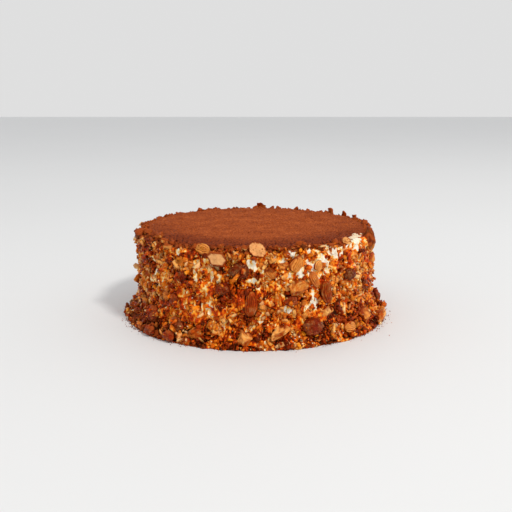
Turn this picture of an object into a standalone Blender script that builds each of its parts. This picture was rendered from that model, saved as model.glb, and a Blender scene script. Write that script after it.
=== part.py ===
"""A round tiramisu cake: cream-coated, its side pressed all over with chopped caramelised almonds,
its flat top under sifted cocoa, and a low heap of fallen nuts and crumbs round its foot.

Metres, +Z up. The origin is the middle of the underside. Bearings are degrees round the cake, from
its front (-Y) towards its right-hand side (+X). Sizes of nuts are in millimetres.
"""

import math

import bmesh
import bpy
import numpy as np
from mathutils import Matrix, Vector, noise
from mathutils.bvhtree import BVHTree

MM = 0.001
GAP = 0.3 * MM  # air left between pieces that touch
SETTLE_STEP = 0.1 * MM  # each move of a piece that is still too near

# The cake
CAKE_HEIGHT = 75.5 * MM  # underside to the cocoa's surface
SIDE_RADIUS = 98.8 * MM  # cream coat above the foot
TOP_RADIUS = 98.0 * MM  # cream coat just under the rim
RIM_ROUND = 5.0 * MM
FOOT_SPREAD = (7.0 * MM, 15.0 * MM)  # how far the heap reaches out: front and back, left and right
FOOT_HEIGHT = (11.0 * MM, 17.0 * MM)
FOOT_HOLLOW = 2.2  # 1 is a straight slope, more is hollower
OUTLINE_SHARES = np.linspace(0.0, 1.0, 201)  # where the half sections are sampled
COAT_SEGMENTS = 100
COAT_ROWS = 17
COAT_WAVE = 1.3 * MM  # slow unevenness of the spread cream
COAT_WAVE_LENGTH = 24.0 * MM
COAT_CRAGS = (-0.8 * MM, 1.7 * MM)  # crust of bits finer than the fused ones
COAT_SEED = 4
FOOT_RAGGED = 2.2 * MM  # how far the heap's edge wanders in and out
FOOT_RAGGED_LENGTH = 9.0 * MM

# The cocoa
COCOA_DEPTH = 1.4 * MM
COCOA_RADIUS = 93.8 * MM
COCOA_EDGE_DEPTH = 0.6 * MM
COCOA_RAGGED = 2.0 * MM
COCOA_RAGGED_LENGTH = 8.0 * MM
COCOA_WAVE = 0.25 * MM
COCOA_WAVE_LENGTH = 13.0 * MM
COCOA_SEGMENTS = 72
COCOA_RINGS = (0.35, 0.66, 0.86, 0.965)  # shares of the radius

COAT_TOP = CAKE_HEIGHT - COCOA_DEPTH - GAP

# Large pieces that stand out one by one on the front and right: kind, bearing, height, length,
# width, depth, turn of the long side from level (anticlockwise, seen from outside), and lean of
# the face upwards from vertical. Millimetres and degrees.
PLACED_NUTS = (
    ("almond_slice", 0.9, 73.2, 14.4, 11.4, 1.9, -32, 24),
    ("almond_slab", -15.8, 67.2, 17.0, 12.4, 3.8, -8, 4),
    ("almond_half", -23.0, 72.5, 12.6, 8.8, 5.0, -10, 30),
    ("praline_lump", -6.7, 59.2, 15.5, 12.0, 8.5, 4, 0),
    ("almond_half", 17.4, 63.6, 13.4, 10.6, 6.4, 62, 0),
    ("almond_half", 28.0, 61.0, 8.8, 7.6, 5.0, 58, 0),
    ("praline_lump", 46.3, 49.2, 12.6, 10.2, 8.0, 0, 0),
    ("almond_chunk", 18.0, 46.8, 16.0, 12.8, 8.2, 20, 0),
    ("almond", 25.7, 50.0, 15.0, 6.4, 5.8, -60, 0),
    ("almond", 31.6, 38.8, 20.4, 10.4, 8.0, -76, 0),
    ("almond_chunk", 32.5, 23.4, 13.6, 8.6, 6.0, 14, 0),
    ("praline_lump", 24.8, 13.8, 17.0, 14.0, 10.0, 0, 14),
    ("almond_half", 44.2, 7.2, 14.6, 9.0, 6.2, -5, 22),
    ("almond_chunk", 57.8, 11.2, 13.8, 11.6, 8.6, 65, 18),
    ("almond_chunk", 66.4, 4.4, 15.0, 11.2, 9.6, 6, 8),
    ("almond_chunk", -4.2, 7.6, 12.0, 11.4, 9.0, 80, 18),
    ("almond_chunk", -25.8, 8.8, 13.4, 9.2, 7.0, 5, 18),
    ("praline_lump", -36.0, 12.2, 14.0, 10.8, 8.6, 0, 14),
    ("praline_lump", -52.6, 14.6, 19.0, 13.6, 10.0, 8, 12),
    ("almond_chunk", -57.4, 3.4, 8.6, 6.6, 5.4, 20, 8),
    ("praline_lump", -37.4, 4.2, 11.0, 8.0, 6.8, 0, 10),
    ("praline_lump", -48.6, 4.2, 11.6, 7.6, 6.6, 12, 8),
    ("almond", -1.5, 35.4, 20.8, 10.6, 7.4, 88, 0),
    ("praline_lump", 14.9, 36.0, 10.4, 9.2, 7.2, 0, 0),
    ("almond_chunk", 10.4, 12.0, 17.0, 9.4, 6.8, 18, 20),
    ("praline_lump", -13.9, 45.4, 10.4, 9.2, 7.2, 0, 0),
    ("almond_sliver", -57.7, 46.8, 11.6, 4.4, 4.2, -62, 0),
    ("almond_sliver", -51.0, 69.4, 12.2, 4.8, 4.4, 94, 4),
    ("almond_half", 67.5, 71.0, 22.4, 13.6, 9.6, 88, 6),
    ("almond_chunk", 70.6, 53.2, 11.4, 9.0, 7.4, 70, 0),
    ("praline_lump", 60.5, 35.0, 10.2, 8.0, 6.6, 0, 0),
    ("praline_lump", -72.0, 71.4, 12.6, 8.6, 7.4, 0, 30),
    ("almond_sliver", -43.6, 34.6, 12.4, 4.6, 4.2, 72, 0),
    ("praline_lump", -38.2, 31.4, 9.8, 7.6, 6.6, 88, 0),
    ("praline_lump", -33.4, 51.6, 10.4, 8.0, 6.6, 10, 0),
    ("almond_half", 47.5, 73.4, 10.2, 6.8, 4.8, -18, 52),
    ("almond_half", 21.5, 74.6, 9.8, 5.2, 4.8, -4, 74),
    ("almond_chunk", 176.5, 72.4, 15.0, 10.4, 5.2, 90, 6),
    ("almond_half", 132.5, 72.8, 15.0, 7.0, 5.0, 84, 6),
    ("almond_half", 122.5, 72.4, 14.4, 6.6, 5.0, 97, 6),
    ("almond_chunk", 111.5, 72.6, 9.6, 6.6, 4.6, 80, 6),
    ("praline_lump", 97.0, 72.2, 12.4, 9.4, 7.4, 0, 26),
    ("almond_half", 6.4, 57.2, 11.4, 8.0, 5.2, -52, 0),
    ("almond_chunk", 11.6, 61.8, 8.2, 6.2, 4.6, 12, 0),
)

# Large pieces round the back and left, spread by a rule
SPREAD_NUTS = 14
SPREAD_SEED = 21
SPREAD_BEARINGS = (93.0, 284.0)
SPREAD_HEIGHTS = (8.0, 68.0)
SPREAD_KINDS = ("praline_lump", "almond", "almond_chunk", "praline_lump", "almond_half", "almond_slab")
SPREAD_LENGTHS = (10.5, 18.0)
SPREAD_ROUND_WIDTHS = (0.7, 0.9)  # shares of the length
SPREAD_LONG_WIDTHS = (0.48, 0.62)
SPREAD_DEPTH = 0.8  # share of the width
SPREAD_DEPTH_MOST = 8.5
SPREAD_TRIES = 400
NUT_SPACE = 1.0 * MM  # kept clear between large pieces
FOOT_LEAN = 34.0  # lean of a piece that lies on the heap

# Chopped nuts and caramel bits fused to the coat
BIT_COUNT = 165
BIT_SEED = 8
BIT_LENGTHS = (4.2, 9.0)
BIT_SMALLNESS = 1.7  # above 1, small ones are commoner
BIT_BAND = (0.03, 0.96)  # shares of the way up the coat
BIT_LOWNESS = 1.5  # above 1, more of them lie low down
BIT_WIDTHS = (0.5, 0.85)  # shares of the length
BIT_DEPTHS = (0.45, 0.75)
BIT_KNOCK = 0.2  # how far a corner is off, as a share of the side
BIT_TIP = 0.5  # radians out of the coat's plane, either way
BIT_OVERLAP = 0.8  # share of the two reaches that neighbours keep apart
BIT_TRIES = 900
BIT_SPACE = 0.6 * MM  # kept clear of large pieces and cocoa

RELIEF_STRENGTH = 1.6  # brings the noise to about -1 to 1
SHARP_EDGE = math.radians(50.0)
CRUST_SHARP_EDGE = math.radians(14.0)

# Two steps that fill a square evenly without rows
EVEN_STEP_A = 0.7548776662
EVEN_STEP_B = 0.5698402910

COLOURS = {
    "cream_coat": ((0.62, 0.29, 0.09), 0.50),
    "cocoa_powder": ((0.34, 0.08, 0.025), 0.95),
    "almond_flesh": ((0.62, 0.31, 0.11), 0.45),
    "almond_skin": ((0.27, 0.07, 0.02), 0.38),
    "dark_praline": ((0.12, 0.025, 0.01), 0.25),
}


def clear_scene():
    for item in list(bpy.data.objects):
        bpy.data.objects.remove(item)


def material(name):
    """The sub-part's finish: colour and roughness of a food that is never metallic."""
    found = bpy.data.materials.get(name)
    if found:
        return found
    colour, roughness = COLOURS[name]
    made = bpy.data.materials.new(name)
    made.use_nodes = True
    shader = made.node_tree.nodes["Principled BSDF"]
    shader.inputs["Base Color"].default_value = (*colour, 1.0)
    shader.inputs["Roughness"].default_value = roughness
    shader.inputs["Metallic"].default_value = 0.0
    made.diffuse_color = (*colour, 1.0)
    return made


def add_object(name, mesh, finish):
    item = bpy.data.objects.new(name, mesh)
    bpy.context.scene.collection.objects.link(item)
    mesh.materials.clear()
    mesh.materials.append(material(finish))
    return item


def mesh_of(name, form):
    """Turns a bmesh into a mesh with its faces pointing out."""
    bmesh.ops.recalc_face_normals(form, faces=form.faces)
    mesh = bpy.data.meshes.new(name)
    form.to_mesh(mesh)
    return mesh


def outward(bearing, lean=0.0):
    """Unit vector away from the axis at a bearing, leaned upwards."""
    turn = math.radians(bearing)
    rise = math.radians(lean)
    flat = Vector((math.sin(turn), -math.cos(turn), 0.0))
    return flat * math.cos(rise) + Vector((0.0, 0.0, math.sin(rise)))


def relief(point, length):
    """Smooth unevenness from about -1 to 1, with bumps of the given length."""
    return noise.noise(point / length) * RELIEF_STRENGTH


# ---- Cream coat ------------------------------------------------------------------------------


def half_section(foot_spread, foot_height):
    """The coat's (radius, height) at even steps along it: the heap at the foot, the side, the rim."""
    foot = [
        (SIDE_RADIUS + foot_spread * (1.0 - share) ** FOOT_HOLLOW, foot_height * share)
        for share in np.linspace(0.0, 1.0, 12)
    ]
    rim = [
        (TOP_RADIUS - RIM_ROUND * (1.0 - math.cos(angle)), COAT_TOP - RIM_ROUND * (1.0 - math.sin(angle)))
        for angle in np.linspace(0.0, math.pi / 2, 10)
    ]
    points = np.array(foot + rim)
    lengths = np.linalg.norm(np.diff(points, axis=0), axis=1)
    places = np.concatenate(([0.0], np.cumsum(lengths))) / lengths.sum()
    return np.stack([np.interp(OUTLINE_SHARES, places, points[:, k]) for k in (0, 1)])


FRONT_SECTION = half_section(FOOT_SPREAD[0], FOOT_HEIGHT[0])
SIDE_SECTION = half_section(FOOT_SPREAD[1], FOOT_HEIGHT[1])


def section_at(bearing):
    """The half section at a bearing, which goes over from the front's to the side's."""
    sideways = math.sin(math.radians(bearing)) ** 2
    return FRONT_SECTION + (SIDE_SECTION - FRONT_SECTION) * sideways


def coat_point(bearing, share):
    """Point on the smooth coat at a share of the way from the foot's edge to the rim, and its lean."""
    section = section_at(bearing)
    radius, height = (float(np.interp(share, OUTLINE_SHARES, line)) for line in section)
    step = 0.01
    back = [np.interp(share - step, OUTLINE_SHARES, line) for line in section]
    ahead = [np.interp(share + step, OUTLINE_SHARES, line) for line in section]
    lean = math.degrees(math.atan2(back[0] - ahead[0], ahead[1] - back[1]))
    return outward(bearing) * radius + Vector((0.0, 0.0, height)), lean


def build_coat():
    """The cake's closed core: rings of points up the outline, pushed in and out by the relief."""
    form = bmesh.new()
    rng = np.random.default_rng(COAT_SEED)
    rings = []
    for row in range(COAT_ROWS):
        share = row / (COAT_ROWS - 1)
        ring = []
        for segment in range(COAT_SEGMENTS):
            bearing = 360.0 * (segment + 0.5 * (row % 2)) / COAT_SEGMENTS
            point, lean = coat_point(bearing, share)
            push = COAT_WAVE * relief(point, COAT_WAVE_LENGTH)
            push += rng.uniform(*COAT_CRAGS)
            if row == 0:
                push = FOOT_RAGGED * relief(point, FOOT_RAGGED_LENGTH)
            on_rim = row == COAT_ROWS - 1
            moved = point + outward(bearing, 0.0 if row == 0 or on_rim else lean) * push
            moved.z = point.z if row == 0 or on_rim else max(moved.z, GAP)
            ring.append(form.verts.new(moved))
        rings.append(ring)
    for row, (lower, upper) in enumerate(zip(rings, rings[1:])):
        for segment in range(COAT_SEGMENTS):
            ahead = (segment + 1) % COAT_SEGMENTS
            a, b, c, d = lower[segment], lower[ahead], upper[ahead], upper[segment]
            triangles = ((a, b, c), (a, c, d)) if row % 2 else ((a, b, d), (b, c, d))
            for triangle in triangles:
                form.faces.new(triangle)
    form.faces.new(rings[0])
    form.faces.new(rings[-1])
    mesh = mesh_of("cake", form)
    form.free()
    return mesh


# ---- Cocoa -----------------------------------------------------------------------------------


def build_cocoa():
    """A thin disc of sifted powder with a ragged edge, flat beneath and softly uneven on top."""
    form = bmesh.new()
    base = COAT_TOP + GAP

    def ring(share, height, wave):
        points = []
        for segment in range(COCOA_SEGMENTS):
            way = outward(360.0 * segment / COCOA_SEGMENTS)
            ragged = relief(way * COCOA_RADIUS, COCOA_RAGGED_LENGTH) * COCOA_RAGGED
            point = way * (COCOA_RADIUS + ragged) * share
            point.z = height + wave * relief(point, COCOA_WAVE_LENGTH)
            points.append(form.verts.new(point))
        return points

    under = ring(1.0, base, 0.0)
    edge = ring(1.0, base + COCOA_EDGE_DEPTH, 0.0)
    rings = [under, edge]
    rings += [ring(share, CAKE_HEIGHT, COCOA_WAVE) for share in reversed(COCOA_RINGS)]
    for lower, upper in zip(rings, rings[1:]):
        for segment in range(COCOA_SEGMENTS):
            ahead = (segment + 1) % COCOA_SEGMENTS
            form.faces.new((lower[segment], lower[ahead], upper[ahead], upper[segment]))
    form.faces.new(under)
    middle = form.verts.new((0.0, 0.0, CAKE_HEIGHT))
    inner = rings[-1]
    for segment in range(COCOA_SEGMENTS):
        form.faces.new((inner[segment], inner[(segment + 1) % COCOA_SEGMENTS], middle))
    mesh = mesh_of("cocoa_top", form)
    form.free()
    return mesh


# ---- Nuts and lumps, each lying in XY with its outer face towards +Z ---------------------------


def almond_half_width(share):
    """Half width of an almond's outline along its length: blunt at 0, pointed at 1, at most 0.5."""
    return 0.5 * share**0.5 * (1.0 - share) ** 0.72 / (0.41**0.5 * 0.59**0.72)


def whole_almond(form, rng):
    """Rings of points along the length, closed at both tips."""
    sides = 8
    rings = []
    for share in (0.06, 0.22, 0.42, 0.64, 0.84):
        half = almond_half_width(share)
        angles = [2.0 * math.pi * side / sides for side in range(sides)]
        ring = [(share - 0.5, half * math.cos(a), half * math.sin(a)) for a in angles]
        rings.append([form.verts.new(point) for point in ring])
    for lower, upper in zip(rings, rings[1:]):
        for side in range(sides):
            ahead = (side + 1) % sides
            form.faces.new((lower[side], lower[ahead], upper[ahead], upper[side]))
    for end, ring in ((-0.5, rings[0]), (0.5, rings[-1])):
        tip = form.verts.new((end, 0.0, 0.0))
        for side in range(sides):
            form.faces.new((ring[side], ring[(side + 1) % sides], tip))


def flat_outline(form, outline, back_share):
    """A flat piece with the outline as its face and a smaller copy of it as its back."""
    face = [form.verts.new((x, y, 0.5)) for x, y in outline]
    back = [form.verts.new((x * back_share, y * back_share, -0.5)) for x, y in outline]
    form.faces.new(face)
    form.faces.new(back)
    for k, point in enumerate(face):
        ahead = (k + 1) % len(face)
        form.faces.new((point, face[ahead], back[ahead], back[k]))


def almond_slice(form, rng):
    """A thin oval slice, cut across the kernel."""
    angles = [2.0 * math.pi * k / 14 for k in range(14)]
    flat_outline(form, [(0.5 * math.cos(a), 0.5 * math.sin(a)) for a in angles], 0.9)


def almond_slab(form, rng):
    """A thick cut piece: a pale six-sided face, wider than its back."""
    angles = [2.0 * math.pi * k / 6 + rng.uniform(-0.25, 0.25) for k in range(6)]
    flat_outline(form, [(0.5 * math.cos(a), 0.5 * math.sin(a)) for a in angles], 0.78)


def sharp_hull(form, rng, points, spread):
    """A chopped piece: the hull of points scattered just inside a ball, brought to full size."""
    ways = rng.normal(size=(points, 3))
    ways *= rng.uniform(1.0 - spread, 1.0, size=(points, 1)) / np.linalg.norm(ways, axis=1, keepdims=True)
    low, high = ways.min(axis=0), ways.max(axis=0)
    for point in (ways - low) / (high - low) - 0.5:
        form.verts.new(point)
    bmesh.ops.convex_hull(form, input=form.verts)
    loose = [vert for vert in form.verts if not vert.link_faces]
    bmesh.ops.delete(form, geom=loose, context="VERTS")


def almond_chunk(form, rng):
    sharp_hull(form, rng, 15, 0.12)


def almond_sliver(form, rng):
    sharp_hull(form, rng, 11, 0.1)


def praline_lump(form, rng):
    """A rounded, knobbly lump of nut bits in hard caramel."""
    bmesh.ops.create_icosphere(form, subdivisions=2, radius=0.5)
    start = Vector(rng.uniform(-50.0, 50.0, size=3))
    for vert in form.verts:
        vert.co *= 0.97 + 0.2 * noise.noise(vert.co * 3.2 + start)


# Kind: how it is shaped, its finish, and the share of its depth that is pressed away into the cream
NUT_KINDS = {
    "almond": (whole_almond, "almond_skin", 0.40),
    "almond_half": (whole_almond, "almond_flesh", 0.46),
    "almond_slice": (almond_slice, "almond_flesh", 0.0),
    "almond_slab": (almond_slab, "almond_flesh", 0.0),
    "almond_chunk": (almond_chunk, "almond_flesh", 0.36),
    "almond_sliver": (almond_sliver, "almond_flesh", 0.30),
    "praline_lump": (praline_lump, "dark_praline", 0.38),
}


def nut_form(kind, length, width, depth, turn, rng):
    """The piece at its real size, turned in its own plane, its back cut flat where it meets cream."""
    shape, _, pressed = NUT_KINDS[kind]
    form = bmesh.new()
    shape(form, rng)
    if pressed:
        level = min(vert.co.z for vert in form.verts) + pressed
        for vert in form.verts:
            vert.co.z = max(vert.co.z, level)
        flat = [face for face in form.faces if max(vert.co.z for vert in face.verts) < level + 1e-6]
        bmesh.ops.dissolve_faces(form, faces=flat, use_verts=True)
    bmesh.ops.transform(
        form,
        verts=form.verts,
        matrix=Matrix.Rotation(math.radians(turn), 4, "Z")
        @ Matrix.Diagonal((length * MM, width * MM, depth * MM, 1.0)),
    )
    bmesh.ops.recalc_face_normals(form, faces=form.faces)
    return form


def stand_at(form, anchor, bearing, lean):
    """Moves a piece from its own plane to a point on the cake, its face along the leaned normal."""
    normal = outward(bearing, lean)
    across = outward(bearing + 90.0)
    upwards = normal.cross(across)
    pose = Matrix((across, upwards, normal)).transposed().to_4x4()
    pose.translation = anchor
    bmesh.ops.transform(form, verts=form.verts, matrix=pose)


def samples(form):
    """Points all over a piece: corners, edge middles and face middles."""
    corners = [vert.co.copy() for vert in form.verts]
    middles = [(edge.verts[0].co + edge.verts[1].co) / 2 for edge in form.edges]
    return corners + middles + [face.calc_center_median() for face in form.faces]


def touches(form, trees):
    """Whether a piece crosses one of the closed meshes or comes nearer to it than the gap."""
    own = BVHTree.FromBMesh(form)
    spots = samples(form)
    return any(
        own.overlap(tree) or min(tree.find_nearest(spot)[3] for spot in spots) < GAP for tree in trees
    )


def settle(form, way, trees):
    """Pushes a piece out along a direction until it clears what it lies on, and off the floor."""
    while touches(form, trees):
        bmesh.ops.translate(form, verts=form.verts, vec=way * SETTLE_STEP)
        lowest = min(vert.co.z for vert in form.verts)
        if lowest < GAP:
            bmesh.ops.translate(form, verts=form.verts, vec=(0.0, 0.0, GAP - lowest))


def place_nut(row, rng, ground, others):
    """A large piece, settled on the cake, or None where another large piece is in its way."""
    kind, bearing, height, length, width, depth, turn, lean = row
    form = nut_form(kind, length, width, depth, turn, rng)
    radii, heights = section_at(bearing)
    radius = float(np.interp(height * MM, heights, radii))
    anchor = outward(bearing) * radius + Vector((0.0, 0.0, height * MM))
    stand_at(form, anchor, bearing, lean)
    settle(form, outward(bearing, lean), ground)
    if touches(form, others):
        form.free()
        return None
    others.append(BVHTree.FromBMesh(form))
    return form


def spread_rows():
    """Large pieces for the back and left: even steps over bearing and height, sizes drawn by a seed."""
    rng = np.random.default_rng(SPREAD_SEED)
    for k in range(SPREAD_TRIES):
        bearing = SPREAD_BEARINGS[0] + np.ptp(SPREAD_BEARINGS) * ((k * EVEN_STEP_A) % 1.0)
        height = SPREAD_HEIGHTS[0] + np.ptp(SPREAD_HEIGHTS) * ((k * EVEN_STEP_B) % 1.0)
        length = rng.uniform(*SPREAD_LENGTHS)
        kind = SPREAD_KINDS[k % len(SPREAD_KINDS)]
        round_kind = kind in ("praline_lump", "almond_chunk")
        width = length * rng.uniform(*(SPREAD_ROUND_WIDTHS if round_kind else SPREAD_LONG_WIDTHS))
        depth = min(width * SPREAD_DEPTH, SPREAD_DEPTH_MOST)
        lean = FOOT_LEAN * max(0.0, 1.0 - height * MM / FOOT_HEIGHT[1])
        yield kind, bearing, height, length, width, depth, rng.uniform(0.0, 180.0), lean


def clear_of(row, taken):
    """Whether a large piece has the wanted space to every earlier one, judged by its length."""
    _, bearing, height, length, *_ = row
    for _, other_bearing, other_height, other_length, *_ in taken:
        around = (bearing - other_bearing + 180.0) % 360.0 - 180.0
        along = math.hypot(math.radians(around) * SIDE_RADIUS, (height - other_height) * MM)
        if along < (length + other_length) / 2 * MM + NUT_SPACE:
            return False
    return True


def add_nuts(ground):
    """Every large piece as its own object, and the search trees that keep the rest clear of them."""
    rng = np.random.default_rng(SPREAD_SEED)
    rows = list(PLACED_NUTS)
    others = []
    counts = {}

    def add(row):
        form = place_nut(row, rng, ground, others)
        if form is None:
            return False
        kind = row[0]
        counts[kind] = counts.get(kind, 0) + 1
        name = f"{kind}_{counts[kind]:02d}"
        mesh = mesh_of(name, form)
        form.free()
        mesh.shade_smooth()
        mesh.set_sharp_from_angle(angle=SHARP_EDGE)
        add_object(name, mesh, NUT_KINDS[kind][1])
        return True

    for row in PLACED_NUTS:
        add(row)
    for row in spread_rows():
        if len(rows) == len(PLACED_NUTS) + SPREAD_NUTS:
            break
        if clear_of(row, rows) and add(row):
            rows.append(row)
    return others


# ---- Chopped bits fused to the coat ----------------------------------------------------------


def bit_rows():
    """Where each bit sits and how big it is, largest first, from the foot's edge to the rim."""
    rng = np.random.default_rng(BIT_SEED)
    sizes = np.sort(rng.uniform(0.0, 1.0, BIT_TRIES) ** BIT_SMALLNESS)[::-1]
    for k, size in enumerate(sizes):
        bearing = 360.0 * ((k * EVEN_STEP_A) % 1.0)
        share = BIT_BAND[0] + np.ptp(BIT_BAND) * ((k * EVEN_STEP_B) % 1.0) ** BIT_LOWNESS
        length = BIT_LENGTHS[0] + np.ptp(BIT_LENGTHS) * size
        flat = rng.uniform(*BIT_WIDTHS)
        thin = rng.uniform(*BIT_DEPTHS)
        yield bearing, share, length, flat, thin, rng.uniform(0.0, 180.0)


def bit_form(length, flat, thin, turn, rng):
    """A chopped bit: a box with every corner knocked a little out of place."""
    form = bmesh.new()
    bmesh.ops.create_cube(form, size=1.0)
    for vert in form.verts:
        vert.co += Vector(rng.uniform(-BIT_KNOCK, BIT_KNOCK, size=3))
    tip = Matrix.Rotation(rng.uniform(-BIT_TIP, BIT_TIP), 4, "Y")
    size = Matrix.Diagonal((length * MM, length * flat * MM, length * thin * MM, 1.0))
    bmesh.ops.transform(
        form, verts=form.verts, matrix=Matrix.Rotation(math.radians(turn), 4, "Z") @ tip @ size
    )
    bmesh.ops.triangulate(form, faces=form.faces)
    return form


def make_bits(nuts, cocoa_tree):
    """The bits as objects in a collection of their own, clear of the large pieces and the cocoa."""
    bits = bpy.data.collections.new("bits")
    bpy.context.scene.collection.children.link(bits)
    rng = np.random.default_rng(BIT_SEED + 1)
    taken = []
    for bearing, share, length, flat, thin, turn in bit_rows():
        centre, lean = coat_point(bearing, share)
        form = bit_form(length, flat, thin, turn, rng)
        reach = max(vert.co.length for vert in form.verts)
        trees = nuts + [cocoa_tree]
        beside = all(
            (centre - other).length > (reach + other_reach) * BIT_OVERLAP for other, other_reach in taken
        )
        if beside and all(tree.find_nearest(centre)[3] > reach + BIT_SPACE for tree in trees):
            stand_at(form, centre, bearing, lean)
            if min(vert.co.z for vert in form.verts) > GAP:
                mesh = mesh_of("bit", form)
                bits.objects.link(bpy.data.objects.new("bit", mesh))
                taken.append((centre, reach))
        form.free()
        if len(taken) == BIT_COUNT:
            break
    return bits


def keep_main_shell(mesh):
    """Fills what the fusing sealed inside and drops loose scraps: only the largest shell stays."""
    form = bmesh.new()
    form.from_mesh(mesh)
    waiting = set(form.verts)
    shells = []
    while waiting:
        shell = {waiting.pop()}
        edge_of_shell = list(shell)
        while edge_of_shell:
            vert = edge_of_shell.pop()
            found = {edge.other_vert(vert) for edge in vert.link_edges} & waiting
            waiting -= found
            shell |= found
            edge_of_shell.extend(found)
        shells.append(shell)
    largest = max(shells, key=len)
    spare = [vert for shell in shells if shell is not largest for vert in shell]
    bmesh.ops.delete(form, geom=spare, context="VERTS")
    form.to_mesh(mesh)
    form.free()


def fuse(item, bits):
    """Joins the bits to the coat with one union, applied, and clears their collection away."""
    union = item.modifiers.new("fused_bits", "BOOLEAN")
    union.operation = "UNION"
    union.operand_type = "COLLECTION"
    union.collection = bits
    union.solver = "EXACT"
    graph = bpy.context.evaluated_depsgraph_get()
    fused = bpy.data.meshes.new_from_object(item.evaluated_get(graph))
    item.modifiers.remove(union)
    old = item.data
    item.data = fused
    bpy.data.meshes.remove(old)
    for bit in list(bits.objects):
        bpy.data.objects.remove(bit)
    bpy.data.collections.remove(bits)
    keep_main_shell(fused)
    fused.name = item.name
    fused.materials.clear()
    fused.materials.append(material("cream_coat"))
    fused.shade_smooth()
    fused.set_sharp_from_angle(angle=CRUST_SHARP_EDGE)


def tree_of(mesh):
    form = bmesh.new()
    form.from_mesh(mesh)
    tree = BVHTree.FromBMesh(form)
    form.free()
    return tree


def build():
    clear_scene()
    coat = add_object("cake", build_coat(), "cream_coat")
    cocoa = add_object("cocoa_top", build_cocoa(), "cocoa_powder")
    cocoa.data.shade_smooth()
    cocoa.data.set_sharp_from_angle(angle=SHARP_EDGE)
    cocoa_tree = tree_of(cocoa.data)
    nuts = add_nuts([tree_of(coat.data), cocoa_tree])
    fuse(coat, make_bits(nuts, cocoa_tree))


build()
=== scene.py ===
"""Looks of a round tiramisu cake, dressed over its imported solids: cream, cocoa, almonds, crumbs.

Metres, +Z up. Bearings are degrees round the cake from its front (-Y) towards its right (+X). Only
the lengths of waves and grain, the patches and the crumbs' widths are in millimetres.
"""

import math

import bmesh
import bpy
import numpy as np
from mathutils import Matrix, Vector, noise
from mathutils.bvhtree import BVHTree


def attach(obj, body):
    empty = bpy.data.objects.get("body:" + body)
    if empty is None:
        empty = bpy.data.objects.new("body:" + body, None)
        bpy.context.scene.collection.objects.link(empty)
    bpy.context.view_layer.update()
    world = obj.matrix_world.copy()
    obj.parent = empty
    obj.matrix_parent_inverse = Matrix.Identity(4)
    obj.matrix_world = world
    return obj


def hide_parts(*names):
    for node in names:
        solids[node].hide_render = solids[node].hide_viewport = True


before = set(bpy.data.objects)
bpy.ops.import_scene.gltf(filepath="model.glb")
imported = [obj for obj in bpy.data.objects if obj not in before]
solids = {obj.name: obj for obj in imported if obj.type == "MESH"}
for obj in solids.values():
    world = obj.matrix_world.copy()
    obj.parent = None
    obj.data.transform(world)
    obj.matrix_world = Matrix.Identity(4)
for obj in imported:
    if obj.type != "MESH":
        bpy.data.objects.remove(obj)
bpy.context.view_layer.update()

# ---- Cream coat -------------------------------------------------------------------------------
# Whipped cream, spread thickly round the stacked sponge and pulled into small peaks as nuts are
# pressed in by hand. Caramel that runs off the nuts stains it yellow to amber, and bare patches
# stay white. Low down it is the bed under the heap of fallen crumbs.

MM = 0.001
SIDE_RADIUS = 98.8 * MM
TOP_RADIUS = 98.0 * MM
RIM_ROUND = 5.0 * MM
FOOT_SPREAD = (7.0 * MM, 15.0 * MM)  # front and back, left and right
FOOT_HEIGHT = (11.0 * MM, 17.0 * MM)
FOOT_HOLLOW = 2.2
OUTLINE_SHARES = np.linspace(0.0, 1.0, 201)
COAT_TOP = 73.8 * MM
COCOA_LEVEL = 75.5 * MM
COCOA_THICK = 0.5 * MM  # no cream stands higher under it
FLOOR_GAP = 0.05 * MM  # nothing but the coat's own edge lies lower
RAY_START = 0.02  # rays towards the coat start this far outside it
UP = Vector((0.0, 0.0, 1.0))
LEFT = -75.0  # the bearing where most cocoa fell
COVERED_HEIGHTS = (71.6, 73.2)  # in mm: from no cocoa on the rim to all covered
COVERED_LOWER_LEFT = 1.4  # how much lower, in mm, it reaches on the left
FOOT_DUST_HEIGHT = 1.0  # in mm, all round
FOOT_DUST_LEFT = 11.0  # and so much more on the left

COAT_SEGMENTS = 732
COAT_ROWS = 132
COAT_PROUD = 0.3 * MM  # bed of cream over the solid, which sinks the nuts
PEAK_HEIGHT = 2.9 * MM
PEAK_LENGTH = 7.5
RIDGE_PULL = 0.5  # ridges are drawn out up and down
SMALL_PEAK_SHARE = 0.4
SMALL_PEAK_LENGTH = 3.4
DIMPLE_HEIGHT = 0.35 * MM
DIMPLE_LENGTH = 1.6
FOOT_BITE = 1.6 * MM  # how far the heap's edge is drawn in at places
FOOT_BITE_LENGTH = 13.0
FOOT_BITE_HEIGHT = 12.0 * MM
NUT_BANK = 0.9 * MM  # cream pushed up round a pressed-in nut
NUT_BANK_REACH = 2.6 * MM

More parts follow.
